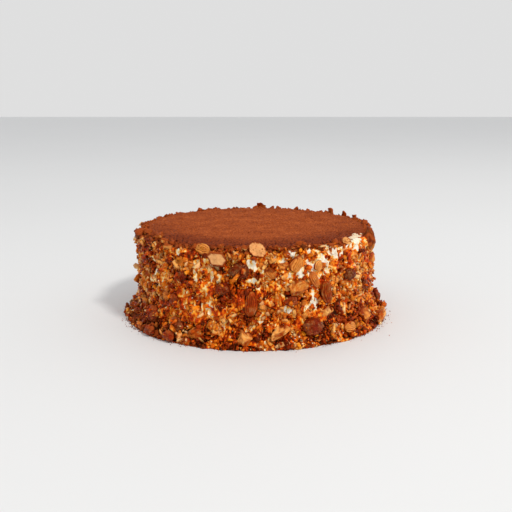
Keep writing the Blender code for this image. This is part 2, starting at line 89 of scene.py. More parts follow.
# Bare cream on the front: bearing, height, half width, half height (mm), and slant (degrees) if any
BARE_PATCHES = (
    (57, 71.5, 5.5, 6.4), (51, 72, 7, 6, 10), (46, 73, 6, 5), (38.5, 70, 7.5, 6.6),
    (34.6, 69.4, 5, 4.8, 20), (31.8, 55, 3.6, 4.2, 10), (30.4, 62.4, 5.5, 6.5, 24),
    (25.9, 59.6, 7.5, 5.6, 28), (20.6, 56, 6.6, 4, 24), (28, 53, 3.4, 5), (26, 34.5, 3.2, 6, -14),
    (28.4, 27.6, 3.6, 5.6, -14), (22.8, 30.4, 3, 2.6), (26, 70.2, 6.4, 3.2, 6), (15.6, 70.2, 4, 2.4, 6),
    (10.8, 67.5, 7, 3.6, 8), (-1.8, 64, 4.2, 5.6, -10), (-3, 48.2, 3.2, 2.6), (-0.6, 51.5, 5.6, 3, 6),
    (2, 47.5, 4, 3, 10), (14.8, 55.2, 4, 3), (-35, 68.5, 3.2, 2.4, 50), (-25.8, 65, 2.8, 4.6, 24),
    (-24.4, 53.7, 2.2, 3.6, -20), (13.8, 28.8, 5.2, 3, 10), (2.8, 20.6, 4, 2),
)
BARE_BACK = (75.0, 285.0)  # bearings where bare patches come by a rule
BARE_BACK_FADE = 12.0
BARE_BACK_LENGTH = 17.0

# Where the crumbs on the front are mostly amber, toasted or burnt, measured in the same way
AMBER_PATCHES = (
    (-33, 32, 12, 9), (-21.4, 43.5, 9, 8), (-27, 20, 10, 5), (-20, 57, 8, 5), (8, 37, 8, 6),
    (20, 19, 14, 7), (52, 62, 10, 6),
)
TOASTED_PATCHES = (
    (-43.9, 59.5, 9, 8), (-12, 23, 11, 6), (1.9, 31, 7, 7), (-8.7, 67.5, 7, 5), (47.4, 44, 18, 20),
    (-58, 45, 6, 14), (7, 5, 12, 4), (22, 5, 7, 3.4),
)
BURNT_PATCHES = (
    (-53, 46.5, 4, 4), (-23, 44.5, 6, 5), (-11.5, 29.3, 7, 5), (12.8, 12.6, 5, 4), (50.1, 32.1, 5, 4),
    (-14, 38, 8, 13, 10), (-4, 38, 9, 10), (-40, 61, 5, 8), (-60, 64, 7, 10), (-48, 24, 9, 10),
    (-50, 8, 26, 9), (27.2, 11, 9, 6), (36, 24, 7, 5), (50, 15, 22, 11), (-68, 10, 12, 10),
    (-6, 57, 11, 4),
)
# Gaps between the clumps, where the crust is broken, measured in the same way: dented, with painted shade
# darkening the cream there
HOLLOWS = (
    (-47.3, 5.6, 5, 3.6, 10), (-28.7, 8.6, 3, 3.8), (24, 8.6, 5, 2), (41.9, 1.7, 5, 1.6),
    (29.2, 28.1, 2.2, 3), (-57.4, 43.4, 2.4, 4.4, 20), (-50.4, 9, 3, 3), (63.1, 3.8, 3.4, 2.4),
    (-8.2, 31.8, 2.2, 2.6), (-69.2, 67, 2.6, 4), (-53, 46.5, 2.4, 2.6), (-36, 3.4, 4, 2.6),
    (37.7, 10.6, 2.6, 2),
)
HOLLOW_DEPTH = 2.6 * MM
SCRAPED_BEARING = 58.5  # where the cocoa is rubbed off the rim, by the large nut
SCRAPED_REACH = (17.0 * MM, 9.0 * MM)  # along the rim, and in from it
# Where the caramel has run smooth on the front, measured in the same way
RUN_PATCHES = (
    (-34, 33, 12, 9), (-22, 44, 9, 7), (-27, 21, 10, 6), (-16, 28, 6, 7), (-5, 36, 6, 9, 10),
    (8, 36, 7, 6), (20, 19, 9, 5), (-20, 58, 5, 4), (30, 22, 6, 5), (48, 52, 6, 6), (-46, 22, 5, 9),
    (-60, 58, 5, 8),
)
ZONE_LENGTH = 11.0
ZONE_SHARPNESS = 4.0
MOSTLY_BURNT_HEIGHT = 24.0 * MM  # below this, towards the foot
SOAKED_HEIGHTS = (4.0 * MM, 26.0 * MM)  # from dark at the foot to no darker than elsewhere


def outward(bearing, lean=0.0):
    """Unit vector away from the axis at a bearing, leaned upwards."""
    turn = math.radians(bearing)
    rise = math.radians(lean)
    flat = Vector((math.sin(turn), -math.cos(turn), 0.0))
    return flat * math.cos(rise) + UP * math.sin(rise)


def half_section(foot_spread, foot_height):
    """The coat's (radius, height) at even steps along it: the heap at the foot, the side, the rim."""
    foot = [
        (SIDE_RADIUS + foot_spread * (1.0 - share) ** FOOT_HOLLOW, foot_height * share)
        for share in np.linspace(0.0, 1.0, 12)
    ]
    rim = [
        (TOP_RADIUS - RIM_ROUND * (1.0 - math.cos(turn)), COAT_TOP - RIM_ROUND * (1.0 - math.sin(turn)))
        for turn in np.linspace(0.0, math.pi / 2, 10)
    ]
    points = np.array(foot + rim)
    lengths = np.linalg.norm(np.diff(points, axis=0), axis=1)
    places = np.concatenate(([0.0], np.cumsum(lengths))) / lengths.sum()
    return np.stack([np.interp(OUTLINE_SHARES, places, points[:, k]) for k in (0, 1)])


SECTIONS = [half_section(*foot) for foot in zip(FOOT_SPREAD, FOOT_HEIGHT)]


def ways_at(bearings):
    """Level unit vectors away from the axis at some bearings."""
    turns = np.radians(bearings)
    return np.stack((np.sin(turns), -np.cos(turns), np.zeros_like(turns)), axis=1)


def coat_spots(bearings, shares):
    """Points on the smooth coat at bearings and shares of the way up it, and their normals."""
    sideways = np.sin(np.radians(bearings)) ** 2

    def section_at(places):
        front, side = ([np.interp(places, OUTLINE_SHARES, k) for k in ends] for ends in SECTIONS)
        return [a + (b - a) * sideways for a, b in zip(front, side)]

    radius, height = section_at(shares)
    low, high = section_at(shares - 0.01), section_at(shares + 0.01)
    lean = np.arctan2(low[0] - high[0], high[1] - low[1])
    ways = ways_at(bearings)
    points = ways * radius[:, None]
    points[:, 2] = height
    normals = ways * np.cos(lean)[:, None]
    normals[:, 2] = np.sin(lean)
    return points, normals


def waves(points, length, shift=0.0):
    """Smooth noise at each point, about -1 to 1, with bumps of the given length in mm."""
    offset = Vector((shift, shift * 0.7, -shift))
    return np.array([noise.noise(Vector(point) / (length * MM) + offset) * 1.6 for point in points])


def eased(values, low, high):
    """0 below low, 1 above high, and smooth between."""
    share = np.clip((np.asarray(values) - low) / (high - low), 0.0, 1.0)
    return share * share * (3.0 - 2.0 * share)


def tree_of(*meshes):
    """One search tree over the faces of several meshes."""
    points, faces = [], []
    for mesh in meshes:
        start = len(points)
        points += [vert.co.copy() for vert in mesh.vertices]
        faces += [[start + k for k in face.vertices] for face in mesh.polygons]
    return BVHTree.FromPolygons(points, faces)


def bearings_of(points):
    return np.degrees(np.arctan2(points[:, 0], -points[:, 1]))


def away(bearings, middle):
    """Degrees from a middle bearing to each bearing, -180 to 180."""
    return (bearings - middle + 180.0) % 360.0 - 180.0


def unrolled(points):
    """Points brought in or out to the side's radius, so that a pattern is the same at any depth."""
    flat = np.array(points, dtype=float)
    flat[:, :2] *= SIDE_RADIUS / np.hypot(flat[:, 0], flat[:, 1])[:, None]
    return flat


def patch_strength(points, patches):
    """How far inside the nearest of some slanted oval patches each point is, with ragged edges."""
    bearings = bearings_of(points)
    edge = 0.5 * waves(points, 5.0, 3.0) + 0.35 * waves(points, 1.8, 8.0)
    found = np.zeros(len(points))
    for bearing, height, half_width, half_height, *slant in patches:
        along = np.radians(away(bearings, bearing)) * SIDE_RADIUS / MM
        up = points[:, 2] / MM - height
        turn = math.radians(sum(slant))
        across = (along * math.cos(turn) - up * math.sin(turn)) / half_width
        rising = (along * math.sin(turn) + up * math.cos(turn)) / half_height
        found = np.maximum(found, eased(1.15 - np.hypot(across, rising) + edge, 0.0, 0.55))
    return found


def ridges(points, length, shift=0.0):
    """A net of ridges: 1 along the lines where the waves change sign."""
    return np.clip(1.0 - np.abs(waves(points, length, shift)) * 2.2, 0.0, 1.0)


def peakiness(points):
    """The net of ridges that the pulled cream stands in: 0 in the hollows, 1 on the ridges."""
    places = unrolled(points) * (1.0, 1.0, RIDGE_PULL)
    bent = places + 1.6 * MM * np.stack([waves(places, 9.0, k) for k in (61.0, 62.0, 63.0)], axis=1)
    small = ridges(bent, SMALL_PEAK_LENGTH, 17.0)
    return ridges(bent, PEAK_LENGTH) * (1.0 - SMALL_PEAK_SHARE) + small * SMALL_PEAK_SHARE


def bareness(points):
    """How bare of crumbs and caramel the cream is: 0 crusted to 1 white."""
    places = unrolled(points)
    bearings = bearings_of(points) % 360.0
    start, end = BARE_BACK
    behind = eased(bearings, start, start + BARE_BACK_FADE)
    behind *= 1.0 - eased(bearings, end - BARE_BACK_FADE, end)
    edge = 0.3 * waves(places, 5.0, 3.0) + 0.2 * waves(places, 1.8, 8.0)
    patchy = waves(places, BARE_BACK_LENGTH, 5.0) + edge + 0.5 * eased(places[:, 2], 0.03, 0.07)
    return np.maximum(patch_strength(places, BARE_PATCHES), behind * eased(patchy, 0.85, 1.2))


def crumb_shares(points):
    """Shares of amber, toasted and burnt crumbs at each point, which add up to 1."""
    places = unrolled(points)
    pulls = []
    for patches, shift in ((AMBER_PATCHES, 21.0), (TOASTED_PATCHES, 31.0), (BURNT_PATCHES, 41.0)):
        drift = waves(places, ZONE_LENGTH, shift) + 0.6 * waves(places, ZONE_LENGTH * 0.35, shift + 4.0)
        pulls.append(drift + 1.1 * patch_strength(places, patches))
    pulls[1] -= 0.1
    pulls[2] += 0.35 * (1.0 - eased(places[:, 2], 0.0, MOSTLY_BURNT_HEIGHT)) - 0.1
    weights = np.exp(ZONE_SHARPNESS * np.array(pulls))
    return weights / weights.sum(axis=0)


def hollowness(points):
    """How deep in a gap each point is, where the cream is dented and darkened with painted shade: the
    placed gaps, and others all round by a rule.
    """
    places = unrolled(points)
    others = eased(waves(places, 8.0, 71.0) + 0.3 * waves(places, 2.5, 72.0), 0.78, 1.05)
    return np.maximum(patch_strength(places, HOLLOWS), others)


def run_caramel(points):
    """How much the caramel has run together at each point: the placed pools, and others by a rule."""
    places = unrolled(points)
    others = eased(waves(places, 11.0, 91.0) + 0.4 * waves(places, 3.5, 92.0), 0.4, 0.8)
    pools = np.maximum(patch_strength(points, RUN_PATCHES), others)
    return pools * (1.0 - bareness(points)) * (1.0 - cocoa_cover(points))


def foot_dust(points):
    """Cocoa fallen on the foot: a thin line all round, and more on the left."""
    left = eased(np.abs(away(bearings_of(points), LEFT)), 55.0, 30.0)
    edge = 3.0 * waves(points, 7.0, 15.0) + 1.5 * waves(points, 2.0, 16.0)
    height = FOOT_DUST_HEIGHT + FOOT_DUST_LEFT * left
    broken = eased(waves(points, 5.0, 18.0) + 0.7 * waves(points, 2.0, 19.0), -0.7, 0.5)
    return broken * (1.0 - eased((points[:, 2] / MM + edge - height) / 3.0, -0.5, 0.5))


def tone(points):
    """Slow drift from darker to lighter crust, about -1 to 1."""
    places = unrolled(points)
    return 0.7 * waves(places, 20.0, 81.0) + 0.5 * waves(places, 8.0, 82.0)


def toned(points):
    """What that drift does to a nut's colour: redder where it is darker, paler where it is lighter."""
    return 1.0 + tone(points)[:, None] * (0.26, 0.38, 0.46)


def soak(points):
    """How dark the soaked-in caramel is, about -0.3 to 0.6: darkest low down and where it burnt."""
    amber, toasted, burnt = crumb_shares(points)
    low = 1.0 - eased(points[:, 2], *SOAKED_HEIGHTS)
    return 0.4 * burnt - 0.08 * toasted + 0.02 * amber + 0.14 * low - 0.16 * tone(points)


def scraped(points):
    """The place on the rim where the cocoa is rubbed off, down to the cream."""
    along = np.radians(bearings_of(points) - SCRAPED_BEARING) * SIDE_RADIUS / SCRAPED_REACH[0]
    inward = (SIDE_RADIUS - np.hypot(points[:, 0], points[:, 1])) / SCRAPED_REACH[1]
    edge = 0.3 * waves(points, 3.0, 24.0) + 0.25 * waves(points, 1.3, 25.0)
    return eased(1.1 - np.hypot(along, inward) + edge, 0.0, 0.4)


def cocoa_cover(points):
    """How far the sifted cocoa covers the rim: 1 over the edge, none lower down."""
    points = unrolled(points)
    left = eased(np.abs(away(bearings_of(points), LEFT)), 95.0, 20.0)
    edge = 1.6 * waves(points, 7.0, 11.0) + 1.2 * waves(points, 2.4, 12.0)
    height = points[:, 2] / MM + edge + COVERED_LOWER_LEFT * left
    return eased(height, *COVERED_HEIGHTS) * (1.0 - scraped(points))


def shade(red, green, blue):
    """A colour as the eye sees it, 0 to 255 a channel, as the linear values that a shader takes."""
    channels = [value / 255.0 for value in (red, green, blue)]
    linear = [part / 12.92 if part <= 0.04045 else ((part + 0.055) / 1.055) ** 2.4 for part in channels]
    return (*linear, 1.0)


def shades(*colours):
    return tuple(shade(*colour) for colour in colours)


class Wire:
    """One socket of a finish. Sums and products of wires and numbers add Math nodes."""

    def __init__(self, finish, socket):
        self.finish = finish
        self.socket = socket

    def maths(self, operation, first, second):
        return self.finish.node("ShaderNodeMath", {"operation": operation}, {0: first, 1: second})

    def __add__(self, other):
        return self.maths("ADD", self, other)

    def __radd__(self, other):
        return self.maths("ADD", other, self)

    def __sub__(self, other):
        return self.maths("SUBTRACT", self, other)

    def __rsub__(self, other):
        return self.maths("SUBTRACT", other, self)

    def __mul__(self, other):
        return self.maths("MULTIPLY", self, other)

    def __rmul__(self, other):
        return self.maths("MULTIPLY", other, self)

    def eased(self, low, high):
        """0 below low, 1 above high, and smooth between."""
        values = {"Value": self, "From Min": low, "From Max": high}
        return self.finish.node("ShaderNodeMapRange", {"interpolation_type": "SMOOTHSTEP"}, values)


class Finish:
    """A material on the Principled shader. Values that are the same all over are set by name."""

    def __init__(self, name, **fixed):
        self.material = bpy.data.materials.new(name)
        self.material.use_nodes = True
        self.tree = self.material.node_tree
        self.shader = self.tree.nodes["Principled BSDF"]
        for socket, value in fixed.items():
            self.shader.inputs[socket.replace("_", " ")].default_value = value
        self.places = self.node("ShaderNodeTexCoord", {}, {}, "Object")

    def node(self, kind, settings, values, output=0):
        """Adds a node: its settings first, then the values or wires of its sockets."""
        made = self.tree.nodes.new(kind)
        for name, value in settings.items():
            if name == "stops":
                self.set_stops(made.color_ramp, value)
            else:
                setattr(made, name, value)
        for name, value in values.items():
            if isinstance(value, Wire):
                self.tree.links.new(value.socket, made.inputs[name])
            else:
                made.inputs[name].default_value = value
        return Wire(self, made.outputs[output])

    def set_stops(self, ramp, stops):
        """A ramp's stops, each a place and a colour as the eye sees it."""
        while len(ramp.elements) < len(stops):
            ramp.elements.new(0.5)
        for element, (place, *colour) in zip(ramp.elements, stops):
            element.position = place
            element.color = shade(*colour)

    def drawn_out(self, height):
        """Places on which grain comes out taller than it is wide."""
        values = {"Vector": self.places, "Scale": (1.0, 1.0, height)}
        return self.node("ShaderNodeMapping", {"vector_type": "POINT"}, values)

    def grain(self, length, detail=2.0, places=None):
        """Noise from 0 to 1 with bumps of the given length in mm."""
        values = {"Vector": places or self.places, "Scale": 1.0 / (length * MM), "Detail": detail}
        return self.node("ShaderNodeTexNoise", {}, values)

    def read(self, name, output="Fac"):
        """What the mesh stores at each point under a name."""
        return self.node("ShaderNodeAttribute", {"attribute_name": name}, {}, output)

    def mix(self, share, first, second, blend="MIX"):
        """Two colours mixed. One given as numbers is as the eye sees it."""
        first, second = (c if isinstance(c, Wire) else shade(*c) for c in (first, second))
        values = {0: share, 6: first, 7: second}
        return self.node("ShaderNodeMix", {"data_type": "RGBA", "blend_type": blend}, values, 2)

    def ramp(self, wire, *stops):
        return self.node("ShaderNodeValToRGB", {"stops": stops}, {"Fac": wire})

    def stain(self, speckle=1.8):
        """Caramel that has soaked through everything at a place, gold to dark red, in short smears."""
        smears = self.drawn_out(0.6)
        broad = self.grain(4.0, 1.0, smears)
        fine = self.grain(1.6, 3.0, smears)
        return self.ramp(
            self.read("soak") + (broad - 0.5) * 2.0 + (fine - 0.5) * speckle + 0.43,
            (0.0, 252, 218, 146),
            (0.2, 248, 172, 56),
            (0.4, 234, 110, 8),
            (0.58, 200, 60, 4),
            (0.76, 142, 33, 2),
            (0.94, 84, 19, 2),
        )

    def feed(self, socket, wire):
        self.tree.links.new(wire.socket, self.shader.inputs[socket])

    def bump(self, height, distance):
        self.feed("Normal", self.node("ShaderNodeBump", {}, {"Height": height, "Distance": distance}))


WARM_SHINE = (1.0, 0.48, 0.17, 1.0)  # the sheen of caramel and toasted nuts


def store(mesh, **kept):
    """Keeps numbers, or colours of four, for the points of a mesh, each lot under its name."""
    for name, values in kept.items():
        kind, field = ("FLOAT_COLOR", "color") if np.ndim(values) == 2 else ("FLOAT", "value")
        mesh.attributes.new(name, kind, "POINT").data.foreach_set(field, np.ravel(values))


def set_map(mesh, corners):
    """The flat map that the finish is baked on, one place for each face corner."""
    mesh.uv_layers.new(name="OFBake").data.foreach_set("uv", np.ravel(corners))


def skin(name, points, faces, corners=None):
    """A smooth mesh of some points and faces, with its flat map if it has one."""
    mesh = bpy.data.meshes.new(name)
    mesh.from_pydata(points.tolist(), [], faces)
    if corners is not None:
        set_map(mesh, corners)
    mesh.shade_smooth()
    return mesh


def in_scene(name, content):
    item = bpy.data.objects.new(name, content)
    bpy.context.scene.collection.objects.link(item)
    return item


def add_piece(name, mesh, finish, slot, *replaced):
    """Puts a finished mesh on the cake, in place of the solids that it stands for."""
    piece = in_scene(name, mesh)
    mesh.materials.append(finish.material)
    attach(piece, "root")
    if replaced:
        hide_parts(*replaced)


CUT_KINDS = ("almond_slice", "almond_slab")  # sawn flat, so that a thin rim of skin shows
NUT_KINDS = ("almond", "almond_half", *CUT_KINDS, "almond_chunk", "almond_sliver", "praline_lump")
nut_names = {kind: sorted(n for n in solids if n[:-3] == kind) for kind in NUT_KINDS}
nut_trees = {name: tree_of(solids[name].data) for names in nut_names.values() for name in names}


def evened(grid, times):
    """Rows of values round the cake, each drawn towards its four neighbours a few times."""
    for _ in range(times):
        sides = np.roll(grid, 1, axis=1) + np.roll(grid, -1, axis=1)
        ends = np.concatenate((grid[:1], grid[:-1])) + np.concatenate((grid[1:], grid[-1:]))
        grid = (2.0 * grid + sides + ends) / 6.0
    return grid


def shape_coat():
    """Rows of points up the coat, laid on the solid, then banked round nuts and pulled into peaks."""
    solid = tree_of(solids["cake"].data)
    nuts = tree_of(*(solids[name].data for name in nut_trees))
    bearings = np.tile(360.0 * np.arange(COAT_SEGMENTS) / COAT_SEGMENTS, COAT_ROWS)
    shares = np.repeat(np.arange(COAT_ROWS) / (COAT_ROWS - 1), COAT_SEGMENTS)
    bases, normals = coat_spots(bearings, shares)
    depths = []
    for point, normal in zip(map(Vector, bases), map(Vector, normals)):
        hit = solid.ray_cast(point + normal * RAY_START, -normal)[0]
        depths.append((hit - point).dot(normal) if hit else 0.0)
    depths = evened(np.array(depths).reshape(COAT_ROWS, COAT_SEGMENTS), 2)
    laid = bases + normals * depths.reshape(-1, 1)
    bare, cocoa, ridge, hollow = (find(laid) for find in (bareness, cocoa_cover, peakiness, hollowness))
    rough = 1.0 - 0.2 * bare - 0.35 * cocoa - 0.6 * run_caramel(laid)
    peaks = PEAK_HEIGHT * (ridge - 0.35) + DIMPLE_HEIGHT * waves(laid, DIMPLE_LENGTH, 4.0)
    proud = COAT_PROUD + rough * peaks
    reach = np.array([nuts.find_nearest(Vector(point))[3] for point in laid])
    proud += NUT_BANK * (1.0 - eased(reach, 0.0, NUT_BANK_REACH))
    proud -= HOLLOW_DEPTH * hollow
    points = laid + normals * proud.reshape(-1, 1)
    bite = eased(waves(unrolled(points * (1.0, 1.0, 0.3)), FOOT_BITE_LENGTH, 13.0), -0.2, 0.7)
    bite *= 1.0 - eased(laid[:, 2], 0.0, FOOT_BITE_HEIGHT)
    points[:, :2] *= 1.0 - (FOOT_BITE * bite / np.hypot(points[:, 0], points[:, 1]))[:, None]
    points[:, 2] = np.clip(points[:, 2], FLOOR_GAP, COCOA_LEVEL - COCOA_THICK)
    points[:COAT_SEGMENTS, 2] = 0.0
    points[-COAT_SEGMENTS:] = bases[-COAT_SEGMENTS:]
    return points, bare, cocoa, ridge, hollow


def coat_quads():
    """The quads between neighbouring points, and their places on a map of six upright panels."""
    steps = np.tile(np.arange(COAT_SEGMENTS), COAT_ROWS - 1)
    rows = np.repeat(np.arange(COAT_ROWS - 1), COAT_SEGMENTS)
    near = steps + rows * COAT_SEGMENTS
    ahead = (steps + 1) % COAT_SEGMENTS + rows * COAT_SEGMENTS
    panel = COAT_SEGMENTS // 6
    which, along = steps // panel, steps % panel
    corners = []
    for right, up in ((0, 0), (1, 0), (1, 1), (0, 1)):
        across = (which % 2 + 0.01 + 0.98 * (along + right) / panel) / 2.0
        rising = 0.27 + 0.73 * (which // 2 + 0.01 + 0.98 * (rows + up) / (COAT_ROWS - 1)) / 3.0
        corners.append(np.stack((across, rising), axis=1))
    quads = np.stack((near, ahead, ahead + COAT_SEGMENTS, near + COAT_SEGMENTS), axis=1)
    return quads, np.stack(corners, axis=1)


def coat_mesh(points):
    """Closes the rows of points into a skin. Its two flat ends lie below the panels on the map."""
    quads, quad_map = coat_quads()
    under = list(range(COAT_SEGMENTS - 1, -1, -1))
    over = [(COAT_ROWS - 1) * COAT_SEGMENTS + k for k in range(COAT_SEGMENTS)]
    widest = 2.0 * SIDE_RADIUS + 2.0 * FOOT_SPREAD[1] + 6.0 * MM
    discs = [
        points[ring][:, :2] / widest * 0.25 + np.array((middle, 0.13))
        for ring, middle in ((under, 0.14), (over, 0.42))
    ]
    corners = np.concatenate([quad_map.reshape(-1, 2), *discs])
    return skin("cream_coat", points, quads.tolist() + [under, over], corners)


def cream_finish():
    """White whipped cream, turning yellow, orange and amber where caramel soaked in; painted shade in
    hollows.
    """
    cream = Finish("stained_cream", IOR=1.3, Specular_Tint=WARM_SHINE)
    streaks = cream.drawn_out(0.45)
    fine = cream.grain(1.7, 4.0, streaks)
    broad = cream.grain(5.0, 2.0, streaks)
    soaked = 0.73 - cream.read("ridge") * 0.5 - cream.read("bare") * 0.62 + cream.read("soak")
    # Painted shade: the cream is darkened, as if more soaked, down in the hollows.
    soaked = soaked + (broad - 0.5) * 1.4 + (fine - 0.5) * 1.7 + cream.read("hollow") * 0.7
    caramel = cream.ramp(
        soaked,
        (0.0, 249, 240, 220),
        (0.18, 251, 229, 172),
        (0.34, 248, 178, 68),
        (0.54, 238, 118, 10),
        (0.72, 188, 54, 4),
        (0.88, 116, 26, 2),
        (1.0, 56, 12, 1),
    )
    cocoa = cream.read("cocoa") + (cream.grain(0.9) - 0.5) * 0.5
    powder = cream.mix(cream.grain(0.7, 3.0).eased(0.35, 0.65), (84, 30, 10), (166, 76, 32))
    cream.feed("Base Color", cream.mix(cocoa.eased(0.4, 0.6), caramel, powder))
    cream.feed("Roughness", cream.read("cocoa").eased(0.3, 0.6) * 0.4 + cream.grain(1.6) * 0.4 + 0.1)
    cream.bump(fine + cream.grain(0.8, 4.0) * 0.5, 0.9 * MM)
    return cream


coat_points, coat_bare, coat_cocoa, coat_ridge, coat_hollow_and_shade = shape_coat()
coat = coat_mesh(coat_points)
# Painted shade: bare cream on the left, the side away from the lamp, is stained a little more, so it
# reads yellower and darker there.
shaded_left_stain = 1.0 - eased(away(bearings_of(coat_points), 0.0), -10.0, 14.0)
store(
    coat,
    bare=coat_bare * (1.0 - 0.16 * shaded_left_stain),
    cocoa=np.maximum(coat_cocoa, 0.9 * foot_dust(coat_points)),
    ridge=coat_ridge,
    hollow=coat_hollow_and_shade,
    soak=soak(coat_points),
)
add_piece("cream_coat_bed", coat, cream_finish(), "cream_coat", "cake")

# ---- Run caramel -------------------------------------------------------------------------------
# Caramel that has run off the nuts and pooled in the hollows of the crust, smooth and glossy, thin
# and golden at its edges and dark red where it is thick.

CARAMEL_DEPTH = 3.4 * MM
CARAMEL_SUNK = 0.9 * MM  # how far its edges lie under the cream
CARAMEL_LEAST = 0.12  # less than this share of a pool is left out
CARAMEL_FOOT = 2.0 * MM  # none lies lower


def caramel_mesh():
    """The pools as skins over the evened-out coat, which dip under it at their edges."""
    points = evened(coat_points.reshape(COAT_ROWS, COAT_SEGMENTS, 3), 5).reshape(-1, 3)
    pooled = run_caramel(points)
    flat = points * (1.0, 1.0, 0.0)
    ways = flat / np.linalg.norm(flat, axis=1, keepdims=True)
    ripple = 0.55 * waves(points, 3.5, 93.0) + 0.2 * waves(points, 1.5, 94.0)
    points = points + ways * (CARAMEL_DEPTH * pooled * (0.75 + ripple) - CARAMEL_SUNK)[:, None]
    quads, quad_map = coat_quads()
    kept = pooled[quads].max(axis=1) > CARAMEL_LEAST
    kept &= points[quads][:, :, 2].min(axis=1) > CARAMEL_FOOT
    used, order = np.unique(quads[kept], return_inverse=True)
    mesh = skin("run_caramel", points[used], order.reshape(-1, 4).tolist(), quad_map[kept])
    store(mesh, soak=soak(points[used]))
    return mesh


def caramel_finish():
    """Glossy caramel, streaked from pale gold through orange to dark red."""
    caramel = Finish("run_caramel", IOR=1.42, Specular_Tint=WARM_SHINE)
    caramel.feed("Base Color", caramel.stain(0.8))
    caramel.feed("Roughness", caramel.grain(2.5) * 0.2 + 0.02)
    caramel.bump(caramel.grain(2.6), 0.5 * MM)
    return caramel


caramel_pools = caramel_mesh()
add_piece("run_caramel", caramel_pools, caramel_finish(), "cream_coat")

# ---- Cocoa top ---------------------------------------------------------------------------------
# Cocoa powder, sifted thickly over the flat cream until none shows. It lies softly uneven, with a
# ragged edge that runs out over the rim, and is quite matt.

COCOA_RADIUS = 93.8 * MM
COCOA_RAGGED = 2.0 * MM
COCOA_RAGGED_LENGTH = 8.0
COCOA_WAVE = 0.14 * MM
COCOA_WAVE_LENGTH = 13.0
COCOA_GRAIN = 0.16 * MM
COCOA_GRAIN_LENGTH = 1.9
COCOA_EDGE_GRAIN = 0.55 * MM  # coarser near the edge, where nuts lie under the powder
COCOA_EDGE_GRAIN_LENGTH = 3.0
COCOA_EDGE_WIDTH = 9.0 * MM
COCOA_FRAY = 0.7 * MM
COCOA_OVERHANG = 1.6 * MM  # thin dust beyond the solid's edge
COCOA_DROP = 1.1 * MM  # how far the powder slopes down at its edge
COCOA_DROP_WIDTH = 3.2 * MM
COCOA_SEGMENTS = 300
COCOA_RINGS = 64


def cocoa_mesh():
    """A disc of rings, flat beneath, with the powder's unevenness on top and a thin edge."""
    ways = ways_at(360.0 * np.arange(COCOA_SEGMENTS) / COCOA_SEGMENTS)
    ragged = waves(ways * COCOA_RADIUS, COCOA_RAGGED_LENGTH) * COCOA_RAGGED + COCOA_OVERHANG
    ragged += COCOA_FRAY * waves(ways * COCOA_RADIUS, 2.2, 6.0)
    edge = ways * (COCOA_RADIUS + ragged)[:, None]
    rings = [edge + np.array((0.0, 0.0, COAT_TOP + 0.1 * MM))]
    for ring in range(COCOA_RINGS):
        share = (1.0 - ring / COCOA_RINGS) ** 0.8
        inward = (1.0 - share) * COCOA_RADIUS
        points = edge * share
        points[:, 2] = COCOA_WAVE * waves(points, COCOA_WAVE_LENGTH)
        points[:, 2] += COCOA_GRAIN * waves(points, COCOA_GRAIN_LENGTH, 9.0)
        near_edge = 1.0 - eased(inward, 0.0, COCOA_EDGE_WIDTH)
        points[:, 2] += near_edge * COCOA_EDGE_GRAIN * waves(points, COCOA_EDGE_GRAIN_LENGTH, 10.0)
        points[:, 2] += COCOA_LEVEL - COCOA_DROP * (1.0 - eased(inward, 0.0, COCOA_DROP_WIDTH))
        rings.append(points)
    points = np.concatenate(rings + [np.array([[0.0, 0.0, COCOA_LEVEL]])])
    around = np.arange(COCOA_SEGMENTS)
    ahead = (around + 1) % COCOA_SEGMENTS
    faces = []
    for ring in range(COCOA_RINGS):
        low, high = ring * COCOA_SEGMENTS, (ring + 1) * COCOA_SEGMENTS
        faces += np.stack((low + around, low + ahead, high + ahead, high + around), axis=1).tolist()
    middle = len(points) - 1
    inner = COCOA_RINGS * COCOA_SEGMENTS
    faces += [[inner + k, inner + (k + 1) % COCOA_SEGMENTS, middle] for k in range(COCOA_SEGMENTS)]
    faces.append(list(range(COCOA_SEGMENTS - 1, -1, -1)))
    order = [k for face in faces for k in face]
    flat = points[order][:, :2] / (2.0 * COCOA_RADIUS + 14.0 * MM) + 0.5
    below = len(order) - COCOA_SEGMENTS  # the flat underside lies small in a corner of the map
    flat[below:] = (flat[below:] - 0.5) * 0.12 + 0.07
    return skin("cocoa_layer", points, faces, flat)


def cocoa_finish():
    """Dry powder: reddish brown, blotched lighter and darker, speckled at the size of its grains."""
    cocoa = Finish("sifted_cocoa", Roughness=0.95, Specular_IOR_Level=0.08)
    blotch = cocoa.grain(15.0, 3.0) * 0.25 + cocoa.grain(1.1, 4.0) * 0.75
    colour = cocoa.ramp(blotch, (0.32, 104, 38, 10), (0.5, 164, 75, 30), (0.66, 208, 108, 50))
    # Painted shade: darker, with more dark specks, towards the rim, and most of all at the front.
    colour = cocoa.mix(cocoa.read("edge") * 0.8, colour, (122, 46, 16))
    speck = cocoa.grain(1.6).eased(0.48, 0.62)
    colour = cocoa.mix(speck * (cocoa.read("edge") * 0.75 + 0.25), colour, (66, 20, 6))
    thin = (cocoa.read("scraped") + (cocoa.grain(1.2, 3.0) - 0.5) * 0.9).eased(0.3, 0.6)
    traces = cocoa.grain(0.9, 3.0).eased(0.42, 0.68) * 0.6
    smeared = cocoa.mix(traces, (241, 224, 192), (186, 104, 54))
    cocoa.feed("Base Color", cocoa.mix(thin, colour, smeared))
    cocoa.bump(cocoa.grain(0.8, 5.0), 0.7 * MM)
    return cocoa


def arrays_of(mesh):
    """A mesh's points and their normals."""
    points = np.empty(len(mesh.vertices) * 3)
    normals = np.empty(len(mesh.vertices) * 3)
    mesh.vertices.foreach_get("co", points)
    mesh.vertex_normals.foreach_get("vector", normals)
    return points.reshape(-1, 3), normals.reshape(-1, 3)


